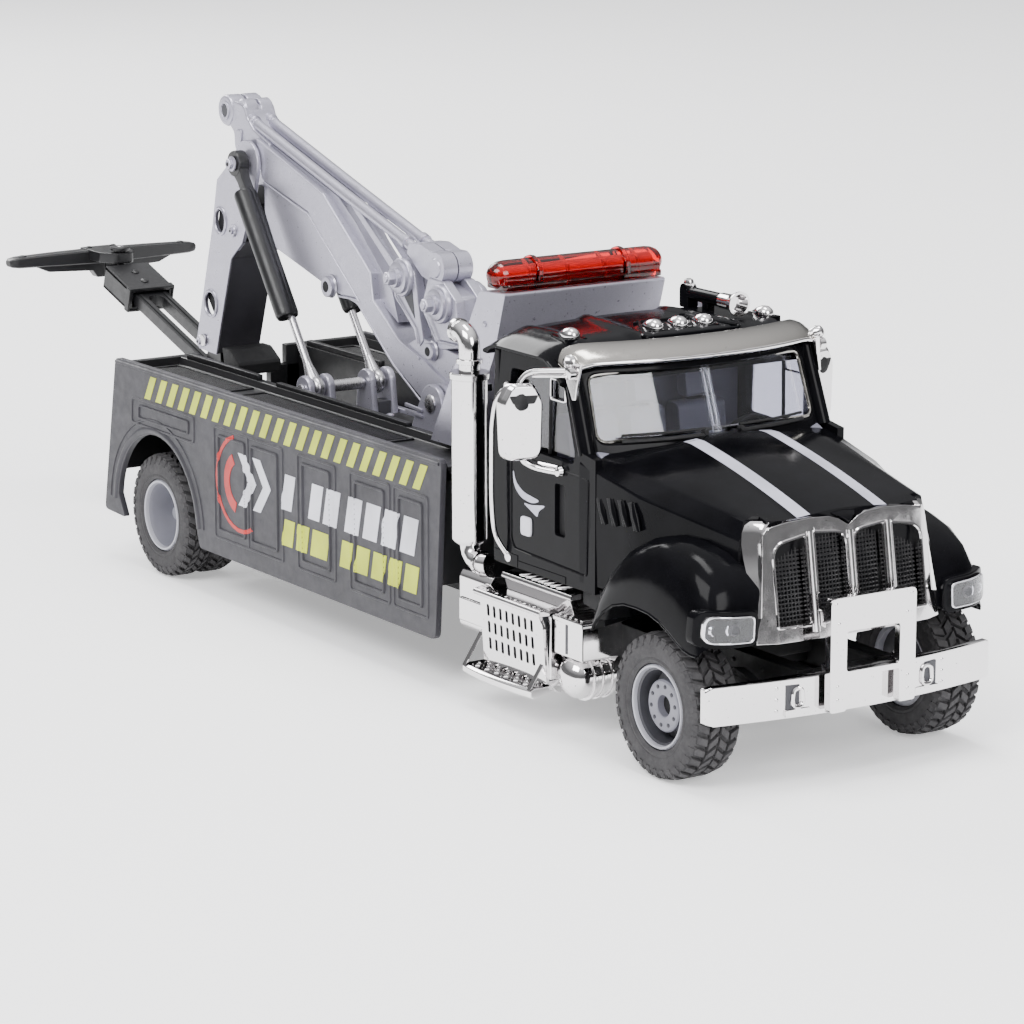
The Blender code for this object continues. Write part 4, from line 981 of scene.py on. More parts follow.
def build_cab_body():
    cab = Piece("cab_bodywork", "black")
    door_window = rounded([(60.6, 43), (78.8, 42.6), (79, 44.6), (75.2, 54.8), (60.9, 54.8)],
        [0.9, 0.9, 0.6, 1, 0.9], 4)
    slot = rounded(rect(73.7, 76.5, 30.8, 38.9), 0.5, 3)
    wall = rounded([(56.6, 23.5), (84.6, 23.5), (84.6, 44.2), (80.2, 44.9), (75.2, 57.8), (56.3, 57.8)],
        [0.8, 0, 0, 0, 0, 0.4], 3)
    screen = rounded([(-20.6, 45.7), (20.6, 45.7), (20.1, 55.9), (-20.1, 55.9)], 1.6, 5)
    for side in (-1, 1):
        cab.plate(wall, [door_window, slot], lambda u, v, w, s=side: (u, -s * (side_y(v) + 1.3 - w), v), 1.3,
            0.2, ((), [45, 48, 51, 54]))
        # painted shade: a matt black block behind the slot in the door darkens the opening
        cab.box(73.2, 77, *span(side, 22.1, 22.6), 30.2, 39.4, 0, finish="matt")
        cab.slab_y(rounded(rect(64.6, 67.4, 29.2, 32.2), 0.7, 4), side * 23.4, side * 23.85, 0.12,
            finish="white_ink")
        # two plain curved bands on the door
        for band in ([(62.1, 39.3), (62.8, 37.2), (65, 35.9), (69.8, 35.3), (67.6, 34.5), (64.4, 34.9),
                (62.3, 36.5)], [(64.8, 34.3), (67, 34.2), (71.4, 34.9), (69.2, 33.6),
                (69, 32.6), (67, 33.4)]):
            cab.slab_y(rounded(band, 1.2, 5), *span(side, 23.4, 23.56), 0, finish="grey_ink")
        # the corner post, the door's seam, the louvres and the sill
        post = [(80.6, 44.2), (79.2, 47.8), (77.9, 51.2), (76.6, 54.6), (75.6, 57.6)]
        cab.tube([(x, side * (22.3 - 0.03 * (z - 44)), z) for x, z in post], 1.35, 14)
        seam = rounded([(62.6, 26.6), (82.4, 26), (82.8, 40.9), (61.6, 41.5), (61.6, 28)],
            [1.4, 0.6, 0.6, 0.8, 0.8], 4)
        seam = [(x, side * (abs(side_y(z)) - 0.02), z) for x, z in seam]
        for radius in (0.204, 0.12):
            cab.tube(seam + seam[:2], radius, 6)
        for x, z, low in ((85.6, 38.5, 34.9), (88.3, 39, 35.1), (91, 39.2, 35.5), (93.6, 39.3, 35.3)):
            y = side * (23.15 - 0.03 * (x - 85))
            path = [(x, y, z), (x + 0.7, y, (z + low) / 2), (x + 1.5, y, low)]
            cab.tube(path, [0.35, 0.62, 0.4], 10)
            # painted shade: a matt black bar behind each louvre darkens its recess
            cab.tube([(px - 0.8, y - side * 0.08, pz) for px, py, pz in path], 0.42, 8, finish="matt")
        for x0, x1, z in ((56.8, 63.5, 26.2), (63.6, 76.8, 25.4)):
            cab.box(x0, x1, *span(side, 23.3, 23.62), 23.6, z - 0.6, 0.12)
    cuts = ([k * 2.3 for k in range(-10, 11)], [47, 49, 51, 53, 55])
    front = [(-22.7, 43.6), (22.7, 43.6), (22.1, 58.4), (-22.1, 58.4)]
    cab.plate(front, [screen], lambda u, v, w: (screen_x(u, v) - 0.9 + w, u, v), 1.4, 0.25, cuts)
    # back wall with a window, and the floor
    cab.plate(rounded(rect(-23.2, 23.2, 23.5, 57.6), 0.8, 3),
        [rounded(rect(-17.5, 17.5, 43.5, 54.5), 1.2, 4)], lambda u, v, w: (56.4 + w, u, v), 1.3, 0.2)
    cab.box(57, 84, -22.6, 22.6, 23.6, 25, 0.1, finish="matt")
    # the hood, its front lip and the point that hangs over the grille
    cab.loft([hood_ring(x) for x in (80.6, 82.4, 84, 85.4, 86.6, 88, 91, 94, 97, 100, 103, 106, 109, 111.2,
        112.4, 112.8, 114.5)])
    tip = [[(113, -3.6, hood_z(113) + 0.4), (113, 0, hood_z(113) + 0.72),
        (113, 3.6, hood_z(113) + 0.4), (113, 0, 38)]]
    tip += [[(115.4, -1.6, 38.9), (115.5, 0, 39), (115.4, 1.6, 38.9), (115.4, 0, 37.6)],
        [(116.1, -0.3, 38.2), (116.1, 0, 38.3), (116.1, 0.3, 38.2), (116.1, 0, 37.7)]]
    cab.loft(tip, 0.1)
    for side in (-1, 1):
        stripe = []
        for k in range(15):
            x = 86 + k * 2.03
            top = hood_z(x) + 0.42
            stripe.append([(x, side * y, top - (y - 5) * 0.089 + lift)
                for y, lift in ((5.9, -0.1), (5.9, 0.045), (8.3, 0.045), (8.3, -0.1))])
        cab.loft(stripe, finish="grey_ink")
        # fender: the skin from the wheel opening over the shoulder to the hood
        rings = []
        for (ox, oz), (cx, cz) in FENDER:
            ring = [(ox, 16, oz + 1.2), (ox, 25.4, oz + 1.2), (ox, 26, oz), (ox, 26.55, oz - 0.05)]
            for t, y in ((0.07, 26.5), (0.3, 26.35), (0.55, 25.9), (0.76, 25.1), (0.9, 23.9),
                    (0.98, 22.3), (1, 20.4)):
                ring.append((ox + (cx - ox) * t, y, oz + (cz - oz) * t))
            ring.append((cx, 16, cz + 0.4))
            rings.append([(x, side * y, z) for x, y, z in ring])
        cab.loft(rings)
        cab.tube([(x, side * 26.5, z) for (x, z), crown in FENDER], 0.22, 8)
        # a black socket round the headlamp
        socket = rounded([(side * y, z) for y, z in ((27, 22.2), (17.3, 21.8), (17.1, 27.2),
            (26.7, 27.9))], 1.6, 5)
        cab.plate(socket, [], lambda u, v, w: (lamp_x(u) - 1.6 + w, u, v), 2, 0.3,
            ([s * y for s in (-1, 1) for y in (19, 21, 22.5, 24, 25.5)], [25]))
        cab.slab_y([(80, 24.2), (88, 24.2), (88, 20.4), (86.2, 20), (84, 20.6), (80, 21.2)], side * 15,
            side * 22.6, 0.2, finish="matt")
        for z in (46.9, 46):
            wiper = [(screen_x(y, z) + 0.75, y * side, z + 0.05 * (y < 9)) for y in (3.2, 6, 10, 14, 17)]
            cab.tube(wiper, 0.22 if z > 46.5 else 0.34, 6, finish="matt")
        cab.turned([(0, 0.5), (0.9, 0.4)], (screen_x(3.4, 46.2) + 0.3, 3.4 * side, 46.3),
            (1, 0, 0.2), 10, finish="matt")
    # roof
    rings = []
    ys = [-23.6 + 47.2 * k / 58 for k in range(59)]
    for x in (54.3, 54.7, 55.4, 56.4, 57.6, 59, 61, 64, 67, 70, 73, 75.5, 78, 80, 81.2):
        blend = min(1, max(0, (x - 60) / 20))
        bend = [-4 * (abs(y) / 20.5) ** 2.2 * blend for y in ys]
        top = [(x + b, y, roof_z(x, y)) for y, b in zip(ys, bend)]
        edge = min(57.9, roof_z(x, 23.6) - 0.1)
        lip = [(x + bend[-1], y, edge - drop) for y, drop in ((24.05, 0), (24, 0.45), (23.2, 0.8))]
        rings.append(top + lip + [(px, -py, pz) for px, py, pz in reversed(lip)])
    cab.loft(rings)
    hatch = rounded([(68.2, -5.2), (68.2, 5.2), (76.6, 9.2), (76.6, -9.2)], 0.8, 3)
    hatch += [(68.2, -4.2), (68.2, -3.8)]
    cab.tube([(x, y, roof_z(x, y) + 0.05) for x, y in hatch], 0.32, 8)
    cab.done("black_paint", "cab_shell")

    glass = Piece("cab_windows", "smoked")
    pane = rounded([(-21.3, 45.2), (21.3, 45.2), (20.8, 56.5), (-20.8, 56.5)], 1.6, 4)
    glass.plate(pane, [], lambda u, v, w: (screen_x(u, v) - 1.35 + w, u, v), 0.4, 0.08,
        cuts, finish="glazing")
    for y in (-0.45, 0.45):
        glass.tube([(screen_x(y, z) - 0.75, y, z) for z in (45.6, 49, 52.5, 56)], 0.24, 8, finish="clear")
    for side in (-1, 1):
        outline = [(59.8, 42.3), (79.4, 42), (79.4, 45), (75.4, 55.4), (59.9, 55.4)]
        glass.plate(rounded(outline, 0.6, 3), [], lambda u, v, w, s=side: (u, -s * (side_y(v) + 1.45 + w), v),
            0.4, 0.06, ((), [45, 50]))
        ring = [(x, side * 22.35, z) for x, z in rounded(rect(70.9, 74.9, 51.4, 54.6), 0.4, 3)]
        glass.tube(ring + ring[:2], 0.2, 6, finish="chrome")
        glass.tube([(70.6, side * 22.3, 42.8), (70.6, side * 22.1, 54.8)], 0.3, 8, finish="matt")
    rim = [(y * 0.985, 50.8 + (z - 50.8) * 0.965) for y, z in screen]
    rim = [(screen_x(y, z) - 0.05, y, z) for y, z in rim]
    glass.tube(rim + rim[:2], 0.3, 8, finish="smoke_chrome")
    glass.plate(rounded(rect(-18, 18, 43, 55), 1, 3), [], lambda u, v, w: (57.9 + w, u, v), 0.3, 0.05)
    glass.done("clear_lens", "cab_glazing")

    inside = Piece("cab_seats_and_dash", "grey")
    for y in (-10.4, 0, 10.4):
        wide = 4.6 if y else 3.4
        inside.slab_y(rounded([(63.2, 28), (73, 28), (73.6, 31.6), (72.4, 33), (63.6, 32.6)], 1.2, 4),
            y - wide, y + wide, 0.7)
        inside.slab_y(rounded([(62.2, 31.6), (66.6, 32), (64.8, 46.6), (61.2, 46.8)], 1.2, 4),
            y - wide, y + wide, 0.8)
        inside.slab_y(rounded([(61.4, 47.4), (64.2, 47.2), (63.6, 51.6), (61.2, 51.6)], 0.9, 4),
            y - wide * 0.55, y + wide * 0.55, 0.6)
        inside.box(62.2, 63.2, y - 1.4, y + 1.4, 45.8, 48.2, 0.2, finish="matt")
    inside.slab_y(rounded([(76.6, 26), (82.6, 26), (82.8, 44), (80.6, 44.9), (78.2, 43.2), (77, 38)],
        0.8, 4), -21, 21, 0.3)
    # painted shade: the right-hand part of the back trim, which the right side window looks onto, is matt
    # black; the rest is grey
    inside.box(58.4, 58.9, -21.8, -8.5, 25.2, 56.4, 0.1, finish="matt")
    inside.box(58.4, 58.9, -8.5, 21.8, 25.2, 56.4, 0.1)
    inside.box(58.6, 82, -21.8, 21.8, 25, 26, 0.1)
    # steering wheel
    wheel, lean, across = Vector((76, 10.4, 43.4)), Vector((-0.75, 0, 0.66)), Vector((0, 1, 0))
    up = lean.cross(across)
    inside.turned([(-3, 0.5), (0, 0.5), (0.3, 0.9), (0.6, 0.5)], wheel, lean, 14, finish="matt")
    loop = [wheel + (across * c + up * s) * 3.6 + lean * 0.4 for c, s in turns(24)]
    inside.tube(loop + loop[:2], 0.36, 8, finish="matt")
    for y, z in arc((0, 0), 3.5, 90, 330, 2):
        inside.tube([wheel + lean * 0.3, wheel + lean * 0.4 + across * y + up * z], 0.3, 6, finish="matt")
    for y in (-15, -5, 5.6, 15):
        inside.turned([(0, 1.1), (0.3, 1.1), (0.4, 0.8)], (77.4, y, 40.2), (-1, 0, 0.1), 16, finish="matt")
    inside.done("grey_plastic", "cab_interior")


def visor_sweep(y):
    """How far the visor is swept back at y, and how far it drops there."""
    return -4.3 * (abs(y) / 22) ** 2.2, -1.5 * max(0, (abs(y) - 19) / 4.7) ** 2


def build_roof_items():
    visor = Piece("sun_visor", "chrome")
    section = [(78.2, 60.3), (79.6, 60.15), (81.2, 59.5), (82.3, 58.7), (82.8, 58.1), (82.5, 57.6),
        (82, 57.7), (81.6, 58.3), (80.4, 59), (79, 59.5), (78.2, 59.7)]
    rings = []
    half = [23.7, 23.5, 23.1, 22.4, 21.4, 20, 17.5, 14, 10, 5]
    for y in [-v for v in half] + [0] + half[::-1]:
        shift, drop = visor_sweep(y)
        size = 1 - 0.75 * max(0, (abs(y) - 21.8) / 1.9) ** 2
        rings.append([(80.4 + (x - 80.4) * size + shift, y, 58.7 + (z - 58.7) * size + drop)
            for x, z in section])
    visor.loft(rings, finish="smoke_chrome")
    bead = [-23 + 46 * k / 32 for k in range(33)]
    bead = [(82.45 + visor_sweep(y)[0], y, 57.75 + visor_sweep(y)[1]) for y in bead]
    visor.tube(bead, 0.42, 10)
    for side in (-1, 1):
        leg = [[(75.6, 23.3, 58), (79.2, 22.6, 58), (79, 21.9, 57.9), (75.6, 22.5, 57.9)],
            [(76.6, 23.5, 55), (78.9, 23, 55), (78.7, 22.4, 55), (76.6, 22.8, 55)]]
        leg.append([(78.2, 23.5, 52.4), (78.8, 23.3, 52.4), (78.8, 22.8, 52.4), (78.2, 22.9, 52.4)])
        visor.loft([[(x, side * y, z) for x, y, z in ring] for ring in leg], 0.15)
        visor.turned([(0, 0.5), (0.4, 1), (1.4, 1.15), (2.2, 0.8), (2.4, 0.3)], (76.6, side * 22.6, 57.6),
            (0.6, side * 0.5, 0.4), 16)
    visor.done("chrome_trim", "visor_frame")

    drop = [(0, 0.12), (0.9, 0.5), (2, 1), (3.1, 1.3), (4, 1.32), (4.6, 1.05), (4.95, 0.6), (5.05, 0.15)]
    for name, ys, node, body in (("centre", (-4.7, 0, 4.7), "bar", 72), ("right", (-18.4,), "right", 69.4),
            ("left", (18.4,), "left", 69.4)):
        lamp = Piece(f"roof_markers_{name}", "chrome")
        for y in ys:
            z = roof_z(body + 1, y)
            lamp.turned(drop, (body - 2.6, y, z - 0.1), (1, 0, 0.05), 20)
            well = rounded([(body - 3.6, y - 1), (body + 2.6, y - 2), (body + 2.9, y + 2),
                (body - 3.6, y + 1)], 0.6, 3)
            lamp.slab_z(well, z - 1.2, z - 0.12, 0.1, finish="black")
        lamp.done("chrome_trim", f"roof_marker_{node}")
    horn = Piece("air_horn_trumpet", "black")
    horn.turned([(0, 0.9), (0.4, 1.1), (8, 1.1), (8.4, 0.95)], (58, 13, 62.7), (1, 0, 0), 20)
    horn.turned([(0, 1), (0.4, 1.25), (2.6, 1.3), (3.6, 1.6), (4.6, 2), (4.9, 2), (4.9, 1.6), (3.4, 1)],
        (66.2, 13, 62.7), (1, 0, 0), 24, finish="chrome")
    horn.slab_y(rounded([(56.2, 60.4), (58.6, 60.4), (58.6, 63.2), (57.8, 64.2), (56.6, 64.2), (56.2, 63.4)],
        0.4, 3), 12, 14, 0.2)
    horn.turned([(0, 0.8), (0.5, 0.95), (1.2, 0.7), (1.4, 0.3)], (57.4, 13, 63.6), (0, 0, 1),
        16, finish="chrome")
    horn.box(62, 63.4, 12.2, 13.8, 60.2, 62.2, 0.2)
    horn.done("chrome_trim", "air_horn")


# ---------------------------------------------------------------- chrome on the cab's flanks
def build_exhaust(name, side):
    x, y = 49.5, -23.4
    stack = Piece(f"exhaust_stack_{name}", "chrome", "truck", side)
    bend = [(x - 2.3 + 2.3 * math.cos(a), y, 56.2 + 2.3 * math.sin(a)) for a in (0.25, 0.55, 0.85, 1.15, 1.4)]
    stack.tube([(x, y, 51), (x, y, 54), (x, y, 55.6)] + bend + [(x - 2.7, y, 58.5),
        (x - 3.3, y, 58.5)], 1.7, 20)
    stack.turned([(0, 1.65), (0.1, 1.95), (0.8, 1.95), (0.8, 1.4), (0.3, 1.35)],
        (x - 2.7, y, 58.5), (-1, 0, 0), 20)
    # painted shade: a matt black disc closes the pipe's mouth
    stack.turned([(0, 1.35), (0.1, 1.37)], (x - 3.3, y, 58.5), (-1, 0, 0), 20, finish="matt")
    stack.turned([(0, 1.8), (0.15, 2.1), (0.75, 2.1), (0.9, 1.8)], (x, y, 53.6), (0, 0, 1), 24)
    shield = [(0, 2.3), (0.5, 2.75), (0.9, 2.9), (26.3, 2.9), (26.5, 3.2), (27.3, 3.25),
        (27.5, 3.1), (27.5, 2.4)]
    stack.turned(shield, (x, y, 24.9), (0, 0, 1), 40)
    low = [(x, y, 25.6), (x, y, 24.6), (x + 0.5, y, 23.3), (x + 1.6, y, 22.5), (x + 3.2, y, 22.3),
        (x + 4.6, y + 0.6, 22.3)]
    stack.tube(low, 1.7, 18)
    stack.turned([(0, 1.8), (0.1, 2), (0.6, 2), (0.7, 1.8)], (x + 3, y, 22.3), (1, 0, 0), 20)
    for z in (49, 28):
        stack.box(x - 0.8, x + 0.8, y + 2.4, -19.6, z, z + 1.2, 0.2)
    stack.done("chrome_trim", f"exhaust_{name}")


def build_mirror(name, side):
    head = Piece(f"door_mirror_{name}", "chrome", "truck", side)
    outline = [(-25.4, 42.6), (-31.2, 42.6), (-31.6, 51.8), (-30.2, 54.5), (-26.6, 54.5), (-25.2, 51.8)]
    outline = rounded(outline, [1.8, 1.8, 0.7, 0.8, 0.8, 0.7], 5)
    inner = [(-28.4 + (y + 28.4) * 0.86, 48.3 + (z - 48.3) * 0.92) for y, z in outline]
    brow = rounded([(-30.6, 52.7), (-26.2, 52.7), (-26.8, 51.4), (-30, 51.4)], 0.3, 3)
    glass = rounded(rect(-30.9, -25.9, 43.4, 51.4), 1.2, 4)
    case = ((70.2, inner), (70.7, outline), (71.9, outline), (72.5, inner))
    for layers, finish, bevel in ((case, "chrome", 0.12), (((72.2, brow), (72.65, brow)), "matt", 0.08),
            (((70, glass), (70.4, glass)), "clear", 0.1)):
        head.loft([[(x + 0.3 * (y + 28.4), y, z) for y, z in ring] for x, ring in layers],
            bevel, finish=finish)
    head.turned([(0, 0.4), (0.2, 1.25), (0.8, 1.5), (1.2, 1.2), (1.4, 0.5)], (71.4, -28.4, 51.7),
        (1, 0, 0.1), 24, finish="matt")
    head.tube(smooth_path([(71.4, -28.6, 54), (71.5, -28.2, 55), (72.8, -26.9, 56.3),
        (77.8, -23.6, 56.9)], 4), 0.45, 10)
    head.tube([(72.2, -26.6, 55.5), (77.6, -23.4, 56)], 0.28, 8)
    head.turned([(0, 0.5), (0.2, 0.95), (1.2, 0.95), (1.4, 0.6)], (78, -24.4, 56.5), (0, 1, 0), 16)
    head.tube(smooth_path([(71.5, -28, 43.2), (71.6, -27.6, 42.3), (72.6, -26.2, 41.4),
        (75.6, -24, 40.9)], 4), 0.5, 10)
    head.tube([(72.6, -25.7, 42.1), (75.4, -24, 41.7)], 0.28, 8)
    head.turned([(0, 0.3), (0.25, 0.75), (0.8, 0.95), (1.35, 0.75), (1.6, 0.3)],
        (75.6, -24.7, 41.1), (0, 1, 0), 18)
    head.done("chrome_trim", f"mirror_{name}")

    handle = Piece(f"grab_rail_{name}", "chrome", "truck", side)
    path = [(60.6, -23.5, 51.8), (59.4, -24.6, 50), (58.6, -25, 46), (58.5, -25.1, 40), (58.6, -25.1, 33),
        (59.2, -24.8, 28.2), (60.8, -23.5, 24.9)]
    handle.tube(smooth_path(path, 6), 0.4, 10)
    for x, z in ((60.6, 51.8), (60.8, 24.9)):
        handle.turned([(0, 0.85), (0.25, 0.85), (0.4, 0.6)], (x, -23.45, z), (0, -1, 0), 14)
    handle.done("chrome_trim", f"grab_handle_{name}")


def diamond_tread(piece, x0, x1, y0, y1, z):
    """Rows of small raised diamonds, turned left and right by turns."""
    rows = max(1, int((y1 - y0) / 1.1))
    count = max(1, int((x1 - x0) / 1.3))
    for r in range(rows):
        for k in range(count):
            x, y = x0 + (x1 - x0) * (k + 0.5) / count, y0 + (y1 - y0) * (r + 0.5) / rows
            lean = 0.32 if (r + k) % 2 else -0.32
            base = [(x - 0.42, y - lean), (x, y - 0.16 + lean * 0.2), (x + 0.42, y + lean),
                (x, y + 0.16 - lean * 0.2)]
            piece.loft([[(x + (px - x) * size, y + (py - y) * size, z + up) for px, py in base]
                for size, up in ((1, -0.1), (0.5, 0.2))])


def build_step(name, side):
    step = Piece(f"side_step_{name}", "chrome", "truck", side)
    # the stowage box behind, with its folded face
    step.slab_x(rounded([(-17, 10.8), (-23.6, 10.8), (-24.9, 12), (-24.9, 19.8), (-24.1, 20.9), (-17, 20.9)],
        0.4, 3), 48.8, 57.6, 0.25)
    step.slab_x(rounded([(-20, 12.6), (-25.3, 12.6), (-25.3, 16.4), (-20, 16.4)], 0.2, 2), 49.2, 57.2, 0.2)
    step.turned([(0, 0.6), (0.3, 0.6), (0.4, 0.4)], (56, -24.9, 18.6), (0, -1, 0), 12)
    # upper tread and the lip below it
    step.slab_x([(-17, 22.2), (-24.4, 21.6), (-24.8, 21.9), (-24.6, 22.6), (-17, 23.3)], 60.6, 79.8, 0.18)
    step.slab_x([(-17, 18.2), (-27.2, 18.6), (-27.5, 19), (-27.2, 19.5), (-24.6, 19.9),
        (-17, 19.6)], 56.4, 75.2, 0.18)
    step.slab_x([(-22.2, 18.8), (-23.4, 18.8), (-24.4, 22), (-23.2, 22)], 60.8, 79, 0.15)
    diamond_tread(step, 57.4, 74.4, -27, -24.7, 19.45)
    for k in range(7):
        x = 64.6 + 1.7 * k
        step.tube([(x, -23.9, 22.75), (x + 1.4, -22.3, 22.95), (x + 2, -20.4, 23.1)], [0.12, 0.3, 0.12], 6)
    # slotted riser between the treads
    holes = [rounded(rect(58.8 + 1.75 * c, 59.55 + 1.75 * c, low, low + 1.9), 0.3, 3) for c in range(8)
        for low in (10, 12.7, 15.4)]
    riser = rounded([(57, 7.6), (74.6, 7.6), (74.6, 16.6), (73.4, 18.6), (57, 18.6)], 0.4, 2)
    step.plate(riser, holes, lambda u, v, w: (u, -25 - (v - 7.6) * 0.075 - w, v), 0.6, 0.1)
    # painted shade: a dark sheet behind the riser darkens its slots
    step.box(57.4, 74.2, -24.2, -23.6, 8.4, 18, 0.05, finish="rim_dark")
    step.box(55.4, 57, -24.6, -17, 8.4, 18.4, 0.2)
    step.box(74, 75.2, -25.2, -17, 8.4, 18.4, 0.2)
    # lower tray, bowed along its front, hung from two straps
    rings = []
    for k in range(13):
        x = 53.8 + 19.6 * k / 12
        out = -27.6 - 1.2 * (1 - ((x - 63.6) / 9.8) ** 2) * 0.7
        rings.append([(x, -22.4, 6.9), (x, out + 0.5, 6.9), (x, out, 6.5), (x, out, 5.6),
            (x, out + 0.5, 5.2), (x, -22.4, 6)])
    step.loft(rings, 0.12)
    diamond_tread(step, 55, 72.6, -27.4, -24, 6.9)
    for x in (54.4, 72.8):
        ends = ((x - 0.5, -27.8, 6.6, 0.4), (x + 0.6, -25.2, 12, 0.2))
        step.loft([[(a, y, z), (a + 1, y, z), (a + 1, y + 0.4, z + up), (a, y + 0.4, z + up)]
            for a, y, z, up in ends], 0.08)
    step.slab_x([(-17, 5.9), (-23.4, 5.9), (-25.2, 8), (-17, 8.8)], 57, 74.4, 0.15)
    # battery box with a ribbed lid
    step.box(75.8, 83.4, -25, -17, 12.9, 18.4, 0.3)
    step.box(75.6, 83.6, -25.2, -17, 18.1, 19, 0.25)
    step.box(79, 79.5, -25.1, -24.9, 13.4, 18, 0.03, finish="rim_dark")
    for k in range(5):
        step.box(76.4 + 1.45 * k, 77.1 + 1.45 * k, -24.6, -17.4, 18.9, 19.35, 0.12)
    step.box(75.8, 90, -17.6, -12, 12, 18, 0.2, finish="matt")
    step.done("chrome_trim", f"step_{name}")

    tank = Piece(f"air_tank_drum_{name}", "chrome", "truck", side)
    profile = [(0, 0.3), (0.15, 1.3), (0.6, 2.3), (1.3, 3), (2.2, 3.4), (3, 3.5), (10.8, 3.5),
        (11.4, 3), (11.8, 1.6)]
    tank.turned(profile, (79.2, -25.6, 9.6), (0, 1, 0), 36)
    for y in (-22.3, -20.6, -18.9):
        tank.ringed([(3.9, y), (3.9, y + 0.7), (3.3, y + 0.7), (3.3, y)], (79.2, 9.6), 36, bevel=0.1)
    tank.slab_y([(76.6, 11.6), (81.8, 11.6), (83.4, 13.4), (75, 13.4)], -21, -18, 0.2)
    tank.done("chrome_trim", f"air_tank_{name}")


# ---------------------------------------------------------------- boom, lift cylinders and mast
DRUMS = {"upper": (-2.6, 58.6), "lower": (9.3, 55.6)}
HOOK_ROLLER = (-63.8, 80.9)
ROD_DIRECTION = (0.957, 0, -0.285)


def hexagon(piece, x, y, z, size, height, side, finish="silver", socket=True):
    """A hexagon bolt head standing out of a face square to the Y axis; with socket, a flat dark patch on top
    is painted shade for the socket's recess.
    """
    rings = []
    for out, r in ((-0.2, size), (height * 0.8, size), (height, size * 0.86)):
        rings.append([(px, y + side * out, pz) for px, pz in circle((x, z), r, 6)])
    piece.loft(rings, 0.06, finish=finish)
    # painted shade: the socket's recess is drawn as a flat dark patch
    if socket:
        piece.slab_y(circle((x, z), size * 0.42, 6), y + side * height,
            y + side * (height + 0.05), finish="matt")


